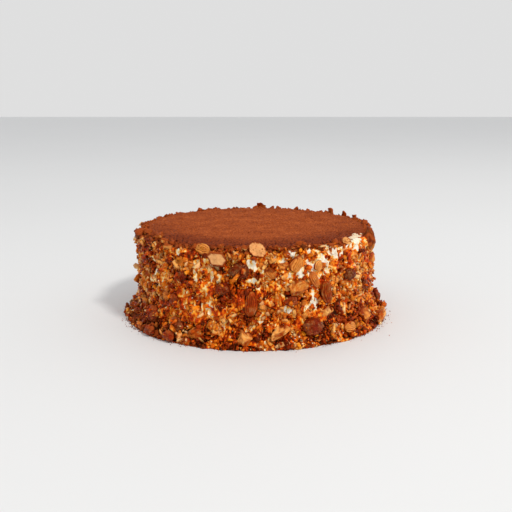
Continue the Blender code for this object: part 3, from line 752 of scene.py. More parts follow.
cocoa_layer = cocoa_mesh()
cocoa_reach = np.array([vert.co.xy.length for vert in cocoa_layer.vertices])
# Darker towards the rim, weakly at the back and strongly at the front; the darkening at the front is
# painted shade.
front_shade = eased([-vert.co.y / COCOA_RADIUS for vert in cocoa_layer.vertices], -0.2, 0.8)
cocoa_edge = eased(cocoa_reach, COCOA_RADIUS - 5.0 * COCOA_EDGE_WIDTH, COCOA_RADIUS - 6.0 * MM)
store(
    cocoa_layer,
    edge=cocoa_edge * (0.2 + 0.8 * front_shade),
    scraped=scraped(arrays_of(cocoa_layer)[0]),
)
add_piece("sifted_cocoa_top", cocoa_layer, cocoa_finish(), "cocoa_powder", "cocoa_top")

# ---- Almonds and praline lumps -----------------------------------------------------------------
# Whole and broken almonds roasted in sugar, and clots of nut in dark caramel, each pressed into
# the soft cream by hand. Skins are wrinkled along the nut, cut flesh is paler and dry.

NUT_SEED = 33
SKIN_WRINKLE = 0.42 * MM
WRINKLES = 11.0  # round a nut
CHOPPED_LUMPS = 0.5 * MM
KNOB_HEIGHT = 1.2 * MM
KNOB_LENGTH = 3.8
SAWN_EDGE, BROKEN_EDGE = 0.9 * MM, 0.5 * MM
DUST_THICK = 0.55 * MM
DUSTED_HEIGHTS = (66.0, 71.0)  # between these, in mm, cocoa begins to lie on whatever faces up
COCOA_LUMPS = ("praline_lump_04", "praline_lump_05", "praline_lump_06", "praline_lump_07")
CLEAN_AT_RIM = ("almond_slice_01", "almond_half_01", "almond_sliver_02", "almond_half_06")
HALF_DUSTED = "almond_half_05"  # the largest nut, under cocoa down to a line
HALF_DUSTED_LINE = (64.0, 66.0)

RIND = {"almond_slice": (0.2, 0.7), "almond_slab": (0.8, 1.3)}  # how far in the dark skin shows, in mm
PALE = shades((222, 160, 102), (220, 152, 92))
FLESH = shades((222, 138, 56), (232, 156, 76), (208, 116, 38), (238, 174, 100))
SKIN = shades((152, 54, 8), (128, 40, 4), (174, 72, 14))
SKIN_OF = {
    "almond_01": shade(206, 118, 50),
    "almond_02": shade(128, 40, 8),
    "almond_03": shade(146, 48, 8),
    "almond_half_01": shade(214, 132, 44),
    HALF_DUSTED: shade(104, 34, 10),
}
LUMP = shades((88, 16, 2), (114, 23, 3), (138, 37, 6))


def clean_copy(mesh):
    """A solid's mesh with its split corners welded and its flat sides whole again."""
    form = bmesh.new()
    form.from_mesh(mesh)
    bmesh.ops.remove_doubles(form, verts=form.verts, dist=0.001 * MM)
    bmesh.ops.dissolve_limit(form, angle_limit=math.radians(0.5), verts=form.verts, edges=form.edges)
    bmesh.ops.join_triangles(
        form, faces=form.faces, angle_face_threshold=0.9, angle_shape_threshold=1.4, cmp_seam=False
    )
    return form


def finer(form, bevel, levels, rounded):
    """The form with its edges taken off and its faces split, by modifiers that are then applied."""
    mesh = bpy.data.meshes.new("finer")
    form.to_mesh(mesh)
    form.free()
    item = in_scene("finer", mesh)
    if bevel:
        edges = item.modifiers.new("edges", "BEVEL")
        edges.width = bevel
        edges.segments = 2
        edges.angle_limit = math.radians(18.0)
    split = item.modifiers.new("split", "SUBSURF")
    split.subdivision_type = "CATMULL_CLARK" if rounded else "SIMPLE"
    split.levels = levels
    graph = bpy.context.evaluated_depsgraph_get()
    made = bpy.data.meshes.new_from_object(item.evaluated_get(graph))
    bpy.data.objects.remove(item)
    bpy.data.meshes.remove(mesh)
    return made


def knobs(points, length, shift):
    """Rounded knobs of the given length in mm, from 0 in the creases to 1 on the knobs."""
    offset = Vector((shift, -shift, shift * 0.3))
    near = [noise.voronoi(Vector(point) / (length * MM) + offset)[0] for point in points]
    return np.array([np.clip((far[1] - far[0]) * 1.6, 0.0, 1.0) for far in near]) ** 0.6


def almond_surface(kind, points, around, along, outer, shift):
    """How far the points of a whole or half almond are pushed out, its creases for painted shade, and
    where skin is.
    """
    stripes = np.sin(around * WRINKLES + shift + 2.2 * waves(points, 6.0, shift))
    stripes = stripes * (1.0 - eased(np.abs(along), 0.36, 0.5))
    push = SKIN_WRINKLE * (0.75 * stripes + 0.5 * waves(points, 2.2, shift))
    push += 0.35 * MM + 0.45 * MM * waves(points, 7.0, shift + 5.0)
    skinned = np.ones(len(points))
    if kind == "almond_half":
        flakes = waves(points, 5.0, shift + 3.0) + 0.9 * eased(-outer, -0.75, -0.1)
        skinned = eased(flakes, 0.45, 0.6)
    return push, 0.5 - 0.5 * stripes, skinned


def lump_surface(points, shift):
    """The same of a clot: knobs of nut, with caramel run between them, darkened there as painted shade.
    """
    bulge = knobs(points, KNOB_LENGTH, shift)
    push = KNOB_HEIGHT * (bulge - 0.35) + 0.3 * MM * waves(points, 1.2, shift)
    return push + 0.5 * MM, 1.0 - bulge, eased(waves(points, 3.2, shift + 7.0), -0.3, 0.4)


def broken_surface(kind, points, through, facing, shift):
    """The same of a chopped or sawn piece: uneven flesh, with skin where its outside was."""
    push = CHOPPED_LUMPS * (waves(points, 1.8, shift) + 0.5 * waves(points, 0.8, shift))
    # Painted shade: where the flesh is pushed in, it counts as a crease and is darkened.
    crease = eased(-waves(points, 1.8, shift), -0.5, 0.8)
    if kind not in CUT_KINDS:
        cut = eased(np.abs(through / np.ptp(through)), 0.3, 0.42)
        return push, crease, (1.0 - cut) * eased(waves(points, 6.0, shift + 2.0), -0.25, 0.1)
    sides = points[np.abs(facing) < 0.6]
    to_side = np.array([np.linalg.norm(sides - point, axis=1).min() for point in points]) / MM
    skinned = 1.0 - eased(to_side + 0.4 * waves(points, 2.0, shift), *RIND[kind])
    return push * 0.5, crease * 0.3, skinned


def dress_nut(kind, name, rng):
    """One large piece: its refined points, faces, and what its finish reads at each point."""
    almond = kind in ("almond", "almond_half")
    lump = kind == "praline_lump"
    levels = 2 if kind in ("almond_chunk", "almond_sliver") else 3
    bevel = 0.0 if almond or lump else SAWN_EDGE if kind in CUT_KINDS else BROKEN_EDGE
    mesh = finer(clean_copy(solids[name].data), bevel, levels, almond or lump)
    points, normals = arrays_of(mesh)
    centre = points.mean(axis=0)
    ways = np.linalg.svd(points - centre, full_matrices=False)[2]
    longways, across, through = ((points - centre) @ way for way in ways)
    shift = rng.uniform(-40.0, 40.0)
    face_way = np.array(outward(float(bearings_of(centre[None])[0])))
    if almond:
        around, along = np.arctan2(through, across), longways / np.ptp(longways)
        push, crease, skinned = almond_surface(kind, points, around, along, normals @ face_way, shift)
    elif lump:
        push, crease, skinned = lump_surface(points, shift)
    else:
        push, crease, skinned = broken_surface(kind, points, through, normals @ ways[2], shift)
    # Painted shade: the lower part of each piece, towards the coat, counts as a crease and is darkened.
    rise = (points - centre) @ face_way / MM
    crease = crease + 0.8 * (1.0 - eased(rise, rise.min() + 0.5, rise.min() + 0.45 * np.ptp(rise)))
    palette = np.array(LUMP if lump else PALE if kind in CUT_KINDS else FLESH)
    tint = np.tile(palette[rng.integers(len(palette))], (len(points), 1))
    tint[:, :3] *= (1.0 + 0.16 * waves(points, 3.0, shift))[:, None] * rng.uniform(0.9, 1.08)
    if kind in CUT_KINDS:
        tint[:, :3] *= 1.0 + waves(points, 1.5, shift + 9.0)[:, None] * (0.12, 0.2, 0.26)
    brown = np.tile(SKIN_OF.get(name, SKIN[rng.integers(len(SKIN))]), (len(points), 1))
    brown[:, :3] *= (1.0 + 0.3 * waves(points, 2.4, shift))[:, None]
    if lump:
        brown = np.tile(LUMP[rng.integers(len(LUMP))], (len(points), 1))
    up = eased(normals[:, 2], -0.1, 0.55)
    dusted = up * eased(points[:, 2] / MM + waves(points, 3.0), *DUSTED_HEIGHTS)
    fallen = foot_dust(points) * eased(normals[:, 2], 0.0, 0.7) * (0.25 if lump else 0.55)
    dusted = np.maximum(0.0 if name in CLEAN_AT_RIM else dusted, fallen)
    if name in COCOA_LUMPS:
        dusted = eased(normals[:, 2] + 0.6 * waves(points, 3.0, shift), 0.5, 1.1)
    if name == HALF_DUSTED:
        skinned = eased(points[:, 2] / MM + 2.0 * waves(points, 4.0), *HALF_DUSTED_LINE)
        dusted = skinned * (0.5 + 0.4 * waves(points, 3.0, 44.0))
    push += dusted * DUST_THICK * (waves(points, 2.4, 28.0) + 0.4)
    points = points + normals * push[:, None]
    points[:, 2] = np.maximum(points[:, 2], FLOOR_GAP)
    tint = tint + (brown - tint) * skinned[:, None]
    faces = [list(face.vertices) for face in mesh.polygons]
    bpy.data.meshes.remove(mesh)
    return points, faces, {"tint": tint, "crease": crease, "dusted": dusted, "skinned": skinned}


def joined_nuts(kind):
    """All large pieces of a kind as one mesh."""
    rng = np.random.default_rng(NUT_SEED + NUT_KINDS.index(kind))
    clouds, face_lists, kept = zip(*(dress_nut(kind, name, rng) for name in nut_names[kind]))
    starts = np.cumsum([0] + [len(cloud) for cloud in clouds[:-1]])
    faces = [[start + k for k in face] for start, part in zip(starts, face_lists) for face in part]
    mesh = skin(kind + "_pieces", np.concatenate(clouds), faces)
    store(mesh, **{name: np.concatenate([part[name] for part in kept]) for name in kept[0]})
    return mesh


DEEP_SHINE = (1.0, 0.32, 0.12, 1.0)  # the sheen of dark caramel and brown skin


def nut_finish(name, gloss, stained, shine=WARM_SHINE):
    """Roasted nut under a film of caramel: painted shade in its creases and low down, with cocoa where it
    faces up.
    """
    nut = Finish(name, IOR=1.32 + 0.3 * gloss, Specular_Tint=shine)
    crease = nut.read("crease") + (nut.grain(1.1, 3.0) - 0.5) * 0.5
    tint = nut.read("tint", "Color")
    pale = nut.mix(nut.grain(0.6, 3.0).eased(0.5, 0.75) * 0.35, tint, (246, 208, 150))
    pale = nut.mix(nut.grain(1.7).eased(0.6, 0.7) * 0.5, pale, (176, 92, 34))
    tint = nut.mix(nut.read("skinned"), pale, tint)
    tint = nut.mix(stained, tint, nut.stain())
    # Painted shade: a darker copy of the tint, laid on in the creases and low down.
    deep = nut.mix(1.0, tint, (176, 104, 72), "MULTIPLY")
    tint = nut.mix(crease.eased(0.35, 1.1) * 0.75, tint, deep)
    powder = nut.mix(nut.grain(0.5), (134, 56, 20), (176, 82, 34))
    dust = (nut.read("dusted") + (nut.grain(0.8) - 0.5) * 0.5).eased(0.35, 0.65)
    nut.feed("Base Color", nut.mix(dust, tint, powder))
    nut.feed("Roughness", nut.grain(1.5) * 0.35 + (0.32 - gloss * 0.5) + dust * 0.5)
    nut.bump(nut.grain(0.7, 4.0), 0.35 * MM)
    return nut


NUT_FINISHES = {
    "almond": ("almond_skin", "almond_in_skin", 0.45, 0.15, DEEP_SHINE),
    "almond_half": ("almond_flesh", "golden_almond", 0.15, 0.1),
    "almond_slice": ("almond_flesh", "sliced_almond", 0.0, 0.05),
    "almond_slab": ("almond_flesh", "cut_almond", 0.0, 0.05),
    "almond_chunk": ("almond_flesh", "chopped_almond", 0.1, 0.22),
    "almond_sliver": ("almond_flesh", "split_almond", 0.04, 0.15),
    "praline_lump": ("dark_praline", "dark_caramel", 0.34, 0.08, DEEP_SHINE),
}
nut_meshes = []
for kind, (slot, *finish) in NUT_FINISHES.items():
    nut_meshes.append(joined_nuts(kind))
    add_piece(kind + "_pieces", nut_meshes[-1], nut_finish(*finish), slot, *nut_names[kind])

# ---- Chopped bits ------------------------------------------------------------------------------
# The larger bits of the chopped nuts, four to nine millimetres, broken by a knife with sharp
# corners. The biggest are fused to the coat's solid, and lie here just where they lie there.

BIT_COUNT = 165
BIT_SEED = 8
BIT_LENGTHS = (4.2, 9.0)
BIT_SMALLNESS = 1.7
BIT_BAND = (0.03, 0.96)
BIT_LOWNESS = 1.5
BIT_WIDTHS = (0.5, 0.85)
BIT_DEPTHS = (0.45, 0.75)
BIT_KNOCK = 0.2
BIT_TIP = 0.5
BIT_OVERLAP = 0.8
BIT_TRIES = 900
BIT_SPACE = 0.6 * MM
EVEN_STEPS = (0.7548776662, 0.5698402910)  # two steps that fill a square evenly without rows

SMALL_BITS = 480
SMALL_BIT_LENGTHS = (2.6, 6.4)
SMALL_BIT_TRIES = 7000
RIM_BITS = 260
RIM_BIT_LENGTHS = (2.0, 5.4)
RIM_BIT_BAND = (92.5 * MM, 98.8 * MM)
RIM_BIT_TRIES = 2400
RIM_BIT_LEVEL = 66.0 * MM  # none stands on anything lower
FOOT_BITS_HEIGHT = 14.0 * MM  # below this, bits are commoner by the next number
FOOT_BITS_MORE = 1.6
RAY_LEVEL = 0.1  # rays from above start so high


def taken_from(form):
    """A form's points and triangles as arrays. The form is then done with."""
    points = np.array([vert.co for vert in form.verts])
    faces = np.array([[vert.index for vert in face.verts] for face in form.faces])
    form.free()
    return points, faces


def box_corners():
    """A unit box's corners and a finer copy of it with rounded edges, as shares of those corners."""
    form = bmesh.new()
    bmesh.ops.create_cube(form, size=1.0)
    corners = np.array([vert.co for vert in form.verts])
    bmesh.ops.bevel(form, geom=form.edges[:], offset=0.13, segments=1, affect="EDGES")
    bmesh.ops.poke(form, faces=[face for face in form.faces if len(face.verts) == 4])
    bmesh.ops.triangulate(form, faces=form.faces)
    points, faces = taken_from(form)
    return corners, np.prod(0.5 + 2.0 * points[:, None, :] * corners[None], axis=2), faces, points


BOX_CORNERS, BOX_SHARES, BOX_FACES, BOX_POINTS = box_corners()


def even_steps(steps):
    """Bearings, and shares from 0 to 1, that fill the coat evenly."""
    return 360.0 * ((steps * EVEN_STEPS[0]) % 1.0), (steps * EVEN_STEPS[1]) % 1.0


def within(ends, share):
    """What lies at a share of the way between two ends."""
    return ends[0] + np.ptp(ends) * share


def bit_corners(length, flat, thin, turn, rng):
    """Corners of a chopped bit: a box with each corner knocked a little out of place."""
    knocked = BOX_CORNERS + np.array([rng.uniform(-BIT_KNOCK, BIT_KNOCK, size=3) for _ in range(8)])
    tip = Matrix.Rotation(rng.uniform(-BIT_TIP, BIT_TIP), 3, "Y")
    size = Matrix.Diagonal((length * MM, length * flat * MM, length * thin * MM))
    turned = Matrix.Rotation(math.radians(turn), 3, "Z") @ tip @ size
    return knocked @ np.array(turned).T


def stood(points, spot, normal, bearing):
    """Points of a piece stood on the coat at a spot, its outer face along the normal."""
    across = outward(bearing + 90.0)
    pose = np.array((across, Vector(normal).cross(across), normal))
    return points @ pose + np.array(spot)


def fused_bits():
    """The bits that the solid has, found by the same rule."""
    rng = np.random.default_rng(BIT_SEED)
    knock = np.random.default_rng(BIT_SEED + 1)
    sizes = np.sort(rng.uniform(0.0, 1.0, BIT_TRIES) ** BIT_SMALLNESS)[::-1]
    trees = [*nut_trees.values(), tree_of(solids["cocoa_top"].data)]
    bearings, shares = even_steps(np.arange(BIT_TRIES))
    spots, normals = coat_spots(bearings, within(BIT_BAND, shares**BIT_LOWNESS))
    taken, found = [], []
    for size, bearing, spot, normal in zip(sizes, bearings, spots, normals):
        flat, thin = rng.uniform(*BIT_WIDTHS), rng.uniform(*BIT_DEPTHS)
        corners = bit_corners(within(BIT_LENGTHS, size), flat, thin, rng.uniform(0.0, 180.0), knock)
        reach = np.linalg.norm(corners, axis=1).max()
        beside = all(np.linalg.norm(spot - other) > (reach + far) * BIT_OVERLAP for other, far in taken)
        if beside and all(tree.find_nearest(Vector(spot))[3] > reach + BIT_SPACE for tree in trees):
            placed = stood(corners, spot, normal, bearing)
            if placed[:, 2].min() > 0.3 * MM:
                found.append(placed)
                taken.append((spot, reach))
        if len(taken) == BIT_COUNT:
            break
    return found, taken


def crowded(spot, reach, near, overlap, nut_gap):
    """Whether a bit at a spot would lie too far into its neighbours, or into a large nut."""
    gaps = np.linalg.norm(np.array([other for other, _ in near]) - np.array(spot), axis=1)
    if np.any(gaps < (reach + np.array([far for _, far in near])) * overlap):
        return True
    return min(tree.find_nearest(spot)[3] for tree in nut_trees.values()) < reach * nut_gap


def small_bits(near, ground):
    """Smaller bits between them, on the finished cream, by the same even steps."""
    rng = np.random.default_rng(BIT_SEED + 2)
    bearings, shares = even_steps(np.arange(SMALL_BIT_TRIES))
    spots, normals = coat_spots(bearings, 0.02 + 0.92 * shares**1.2)
    wanted = (0.35 + 0.9 * crumb_shares(spots)[1]) * (1.0 - bareness(spots))
    wanted *= 1.0 - 0.7 * run_caramel(spots)
    wanted *= np.where(spots[:, 2] < FOOT_BITS_HEIGHT, FOOT_BITS_MORE, 1.0)
    found = []
    for bearing, spot, normal, liking in zip(bearings, spots, normals, wanted):
        if len(found) == SMALL_BITS:
            break
        size = (1.0 - len(found) / SMALL_BITS) ** 1.5 * rng.uniform(0.7, 1.0)
        length = within(SMALL_BIT_LENGTHS, size)
        flat, thin = rng.uniform(0.4, 0.9), rng.uniform(0.4, 0.8)
        corners = bit_corners(length, flat, thin, rng.uniform(0, 180), rng)
        hit = ground.ray_cast(Vector(spot + normal * RAY_START), Vector(-normal))[0]
        reach = length * 0.5 * MM
        if hit is None or rng.uniform() > liking or crowded(hit, reach, near, 0.7, 0.7):
            continue
        placed = stood(corners, np.array(hit) + normal * reach * rng.uniform(0.1, 0.5), normal, bearing)
        placed[:, 2] += max(FLOOR_GAP - placed[:, 2].min(), 0.0)
        found.append(placed)
        near.append((np.array(hit), reach))
    return found


def rim_bits(ground):
    """Bits along the rim, half under the cocoa, which break up its edge."""
    rng = np.random.default_rng(BIT_SEED + 4)
    found, near = [], [(np.zeros(3), 0.0)]
    for k in range(RIM_BIT_TRIES):
        if len(found) == RIM_BITS:
            break
        bearing = even_steps(k)[0] + rng.normal(0.0, 0.7)
        radius = within(RIM_BIT_BAND, rng.uniform() ** 0.6)
        length = within(RIM_BIT_LENGTHS, rng.uniform() ** 1.8)
        length *= 1.0 + 0.4 * float(eased(abs(away(bearing, LEFT)), 50.0, 30.0))
        flat, thin = rng.uniform(0.4, 0.9), rng.uniform(0.4, 0.8)
        corners = bit_corners(length, flat, thin, rng.uniform(-45, 45), rng)
        above = outward(bearing) * radius + UP * RAY_LEVEL
        hit = ground.ray_cast(above, -UP)[0]
        reach = length * 0.5 * MM
        if hit is None or hit.z < RIM_BIT_LEVEL or crowded(hit, reach, near, 0.75, 0.5):
            continue
        if bareness(np.array([hit]))[0] > 0.4 or scraped(np.array([hit]))[0] > 0.3:
            continue
        way = outward(bearing, rng.uniform(20.0, 80.0))
        found.append(stood(corners, np.array(hit) + np.array(way) * reach * 0.25, way, bearing))
        near.append((np.array(hit), reach))
    return found


def atlas(count, faces):
    """A map with one square cell for each piece and, in it, half a small square for each triangle."""
    side = math.ceil(math.sqrt(count))
    squares = math.ceil(len(faces) / 2)
    columns = math.ceil(math.sqrt(squares))
    rows = math.ceil(squares / columns)
    low = np.array(((0.06, 0.06), (0.88, 0.06), (0.06, 0.88)))
    which = np.arange(len(faces))
    half = np.where((which % 2)[:, None, None] == 1, 1.0 - low[None], low[None])
    square = np.stack(((which // 2) % columns, (which // 2) // columns), axis=1)[:, None, :]
    cell = (square + half) / np.array((columns, rows)) * 0.94 + 0.03
    piece = np.arange(count)
    place = np.stack((piece % side, piece // side), axis=1)[:, None, None, :]
    return (place + cell[None]) / side


def joined(name, clouds, faces):
    """Many small pieces of one make as a single mesh. clouds holds each one's points."""
    count, size = clouds.shape[:2]
    mesh = bpy.data.meshes.new(name)
    mesh.vertices.add(count * size)
    mesh.vertices.foreach_set("co", clouds.ravel())
    corners = (faces[None] + size * np.arange(count)[:, None, None]).ravel()
    mesh.loops.add(len(corners))
    mesh.loops.foreach_set("vertex_index", corners)
    mesh.polygons.add(count * len(faces))
    mesh.polygons.foreach_set("loop_start", np.arange(0, len(corners), 3))
    mesh.update(calc_edges=True)
    mesh.validate()
    set_map(mesh, atlas(count, faces))
    return mesh


def each(values, size):
    """A value for each piece, given to all its points."""
    return np.repeat(np.asarray(values), size, axis=0)


def chopped_pieces():
    """Every bit as one mesh: golden flesh, some with skin left on one side, some all dark."""
    fused, taken = fused_bits()
    boxes = np.array(fused + small_bits(taken, tree_of(coat)) + rim_bits(tree_of(coat, cocoa_layer)))
    rng = np.random.default_rng(BIT_SEED + 3)
    middles = boxes.mean(axis=1)
    sizes = np.ptp(boxes, axis=1).mean(axis=1)
    clouds = np.einsum("pc,ncd->npd", BOX_SHARES, boxes)
    clouds += rng.normal(0.0, 0.028, clouds.shape) * sizes[:, None, None]
    clouds[:, :, 2] = np.maximum(clouds[:, :, 2], FLOOR_GAP)
    mesh = joined("chopped_nut_bits", clouds, BOX_FACES)
    points = clouds.reshape(-1, 3)
    count, size = clouds.shape[:2]
    flesh = np.array(FLESH)[rng.integers(len(FLESH), size=count)]
    flesh[:, :3] *= rng.uniform(0.85, 1.25, (count, 1)) * toned(middles)
    brown = rng.uniform(size=count) - 0.45 * crumb_shares(middles)[2] + 0.08
    skin_tint = np.array(SKIN)[rng.integers(len(SKIN), size=count)]
    dark = np.array(LUMP)[rng.integers(len(LUMP), size=count)]
    body = np.where((brown < 0.2)[:, None], dark, np.where((brown < 0.42)[:, None], skin_tint, flesh))
    side = np.tile(BOX_POINTS[:, 2] > 0.34, count) | np.tile(BOX_POINTS[:, 1] > 0.4, count)
    skinned = side & (each(rng.uniform(size=count), size) < 0.38)
    # Painted shade: the side of each bit that faces the coat counts as a crease and is darkened.
    ways = middles * (1.0, 1.0, 0.0) / np.hypot(middles[:, 0], middles[:, 1])[:, None]
    rise = np.einsum("npe,ne->np", clouds - middles[:, None, :], ways) / sizes[:, None]
    low = 1.0 - eased(rise.ravel(), -0.45, 0.2)
    level = points[:, 2] / MM + 1.5 * waves(points, 5.0) + each(rng.normal(0.0, 1.2, count), size)
    covered = np.maximum(eased(level, 71.0, 73.2), 0.85 * foot_dust(points))
    store(
        mesh,
        tint=np.where(skinned[:, None], each(skin_tint, size), each(body, size)),
        soak=each(soak(middles), size) * 0.7,
        skinned=(skinned | (each(brown, size) < 0.42)).astype(float),
        crease=0.6 * eased(-waves(points, 1.6), -0.5, 0.9) + 0.9 * low,
        dusted=covered * eased(arrays_of(mesh)[1][:, 2], -0.35, 0.35),
    )
    return mesh


bit_mesh = chopped_pieces()
add_piece("chopped_nut_bits", bit_mesh, nut_finish("chopped_nut", 0.06, 0.3), "almond_flesh")

# ---- Crumbs ------------------------------------------------------------------------------------
# Everything finer: grains of amber caramel, crumbs of roasted nut, burnt dark crumbs, flakes of
# skin and flecks of cream, whose pale specks also stand in for painted glints on the caramel. They are
# thrown and pressed on until the coat is hidden, and a drift of them lies round the foot.

CRUMB_SEED = 50
CRUMB_UNEVEN = 0.38
FLAKE_THICK = 0.45 * MM
ON_LUMPS = 0.35  # share of crumbs that a dark lump takes
TOUCHING = 0.15 * MM
SPOT_TRIES = 4000


def ball():
    """A faceted ball of unit size, as points and triangles."""
    form = bmesh.new()
    bmesh.ops.create_icosphere(form, subdivisions=1, radius=0.5)
    return taken_from(form)


def shard():
    """A broken grain: a box of unit size with a point in the middle of each side."""
    form = bmesh.new()
    bmesh.ops.create_cube(form, size=0.86)
    bmesh.ops.poke(form, faces=form.faces[:], offset=0.07)
    return taken_from(form)


def flake():
    """A thin curved chip with three by three points on each side."""
    steps = np.linspace(-0.5, 0.5, 3)
    face = np.array([(x, y, 0.5 - 1.6 * (x * x + y * y)) for y in steps for x in steps])
    points = np.concatenate((face, face * (0.9, 0.9, 1.0) - (0.0, 0.0, 0.35)))
    triangles = []
    for y in range(2):
        for x in range(2):
            a, b, c, d = y * 3 + x, y * 3 + x + 1, y * 3 + x + 4, y * 3 + x + 3
            triangles += [(a, b, c), (a, c, d), (a + 9, c + 9, b + 9), (a + 9, d + 9, c + 9)]
    ring = (0, 1, 2, 5, 8, 7, 6, 3)
    for k, start in enumerate(ring):
        end = ring[(k + 1) % 8]
        triangles += [(start, start + 9, end + 9), (start, end + 9, end)]
    return points, np.array(triangles)


def spun(count, rng):
    """Random turns in space."""
    q = rng.normal(size=(count, 4))
    w, x, y, z = (q / np.linalg.norm(q, axis=1, keepdims=True)).T
    rows = (
        (1 - 2 * (y * y + z * z), 2 * (x * y - z * w), 2 * (x * z + y * w)),
        (2 * (x * y + z * w), 1 - 2 * (x * x + z * z), 2 * (y * z - x * w)),
        (2 * (x * z - y * w), 2 * (y * z + x * w), 1 - 2 * (x * x + y * y)),
    )
    return np.array(rows).transpose(2, 0, 1)


def laid_flat(normals, rng):
    """Turns that lay a piece's face along each normal, give or take a tilt."""
    normals = normals + rng.normal(0.0, 0.3, normals.shape)
    normals /= np.linalg.norm(normals, axis=1, keepdims=True)
    side = np.cross(normals, rng.normal(size=normals.shape))
    side /= np.linalg.norm(side, axis=1, keepdims=True)
    return np.stack((side, np.cross(normals, side), normals), axis=2)


def crumb_spots(count, rng, wanted, band=(0.005, 0.97)):
    """Places on the crust, even but for what wanted(points) thins out, with their normals."""
    found = np.empty((0, 6))
    start = int(rng.integers(100000))
    while len(found) < count:
        bearings, shares = even_steps(start + np.arange(SPOT_TRIES))
        start += SPOT_TRIES
        bearings = bearings + rng.normal(0.0, 0.4, SPOT_TRIES)
        rays = zip(*coat_spots(bearings, within(band, shares)))
        hits = [crust.ray_cast(Vector(base + way * RAY_START), Vector(-way))[:2] for base, way in rays]
        hits = np.array([(*spot, *normal) for spot, normal in hits if spot is not None])
        found = np.concatenate((found, hits[rng.uniform(size=len(hits)) < wanted(hits[:, :3])]))
    return found[:count, :3], found[:count, 3:]


def crumbs(name, make, spots, normals, sizes, rng, flat=False, sunk=0.22):
    """Crumbs of one make at their places. sizes are their three widths; sunk is a share of a width."""
    shape, faces = make
    count = len(spots)
    jitter = 1.0 + rng.uniform(-CRUMB_UNEVEN, CRUMB_UNEVEN, (count, len(shape), 1))
    clouds = shape[None] * jitter * sizes[:, None, :]
    turns = laid_flat(normals, rng) if flat else spun(count, rng)
    clouds = np.einsum("npd,ned->npe", clouds, turns)
    lift = sizes.min(axis=1) * (0.5 - sunk)
    clouds += (spots + normals * lift[:, None])[:, None, :]
    # How high each point stands on its crumb, which the finish reads for painted shade low down.
    rise = np.einsum("npe,ne->np", clouds - spots[:, None, :], normals) / sizes.max(axis=1)[:, None]
    low = clouds[:, :, 2].min(axis=1)
    clouds[:, :, 2] += np.maximum(FLOOR_GAP - low, 0.0)[:, None]
    mesh = joined(name, clouds, faces)
    store(mesh, rise=rise.ravel())
    return mesh


def crumb_sizes(count, rng, smallest, largest, slender=1.0, smallness=2.2):
    """Three widths for each crumb, in metres: small ones are commoner, none is quite round."""
    width = smallest + (largest - smallest) * rng.uniform(size=count) ** smallness
    ratios = rng.uniform((0.35, 0.5, 0.8), (0.7, 0.9, 1.25), (count, 3)) * (1.0 / slender, 1.0, slender)
    return width[:, None] * ratios * MM


def crumb_tints(palette, points, rng, size):
    """A colour for each crumb, drawn from a palette, with cocoa on those near the rim."""
    colours = np.array(palette)[rng.integers(len(palette), size=len(points))]
    colours[:, :3] *= rng.uniform(0.8, 1.36, (len(points), 1)) * toned(points)
    cocoa = np.array(shade(158, 68, 24)) * np.ones((len(points), 1))
    covered = np.maximum(cocoa_cover(points), foot_dust(points))
    dusted = covered > rng.uniform(0.2, 1.15, len(points))
    colours = np.where(dusted[:, None], cocoa * rng.uniform(0.35, 1.1, (len(points), 1)), colours)
    return each(colours, size), each(dusted.astype(float), size)


def crumb_finish(name, roughness, ior):
    """A crumb's own tint, broken up by finer specks and darker low down as painted shade; dusted ones are
    matt.
    """
    crumb = Finish(name, IOR=ior, Specular_Tint=WARM_SHINE)
    tint = crumb.mix(0.36 - crumb.read("dusted") * 0.36, crumb.read("tint", "Color"), crumb.stain())
    # Painted shade: a darker copy of the tint, laid on where the crumb sits low.
    deep = crumb.mix(1.0, tint, (120, 53, 26), "MULTIPLY")
    light = crumb.grain(0.7, 3.0).eased(0.35, 0.65) * 0.6 + crumb.read("rise").eased(-0.1, 0.35) * 0.7
    crumb.feed("Base Color", crumb.mix(light, deep, tint))
    crumb.feed("Roughness", crumb.grain(1.0) * 0.2 + roughness + crumb.read("dusted") * 0.5)
    crumb.bump(crumb.grain(0.6, 3.0), 0.25 * MM)
    return crumb


crust = tree_of(coat, caramel_pools, bit_mesh, *nut_meshes)
whole_nuts = tree_of(*nut_meshes[:-1])
dark_lumps = tree_of(nut_meshes[-1])


def room_for_crumbs(points, on_nuts):
    """Fewer crumbs on bare cream, on its ridges and on dark lumps, and hardly any on the nuts."""
    room = 1.0
    for tree, share in ((whole_nuts, on_nuts), (dark_lumps, ON_LUMPS)):
        gaps = np.array([tree.find_nearest(Vector(point))[3] for point in points])
        room = room * np.where(gaps < TOUCHING, share, 1.0)
    room *= (1.0 - 0.95 * hollowness(points)) * (1.0 - 0.9 * run_caramel(points))
    return room * (1.0 - 0.95 * bareness(points)) * (1.0 - 0.85 * eased(peakiness(points), 0.35, 0.7))


AMBER = shades((240, 128, 14), (248, 152, 30), (222, 92, 6), (196, 62, 2), (234, 108, 8))
TOASTED = shades(
    (236, 146, 52), (224, 120, 32), (246, 184, 100), (208, 98, 20), (232, 131, 36), (250, 210, 146)
)
BURNT = shades((146, 42, 4), (174, 59, 8), (98, 25, 2), (190, 75, 12), (124, 33, 4))
# Cream flecks, white to gold, which also stand in for painted glints on the caramel.
FLECKS_AND_GLINTS = shades((252, 237, 202), (250, 216, 142), (246, 192, 92))


def crumbs_wanted(share, least, most, on_nuts):
    """A rule for one kind of crumb (share 0 amber, 1 toasted, 2 burnt): how many a place takes."""
    return lambda points: (least + most * crumb_shares(points)[share]) * room_for_crumbs(points, on_nuts)


def on_cream(points):
    """Flecks of cream, which also serve as painted glints, come in clusters, and none under the cocoa."""
    cluster = eased(waves(unrolled(points), 12.0, 51.0), -0.1, 0.5)
    room = np.minimum(room_for_crumbs(points, 0.03), 1.0)
    return (0.35 + 0.5 * cluster) * (1.0 - cocoa_cover(points)) * room


on_amber = crumbs_wanted(0, 0.04, 0.6, 0.01)
on_toasted = crumbs_wanted(1, 0.04, 1.0, 0.01)
on_burnt = crumbs_wanted(2, 0.05, 1.0, 0.02)

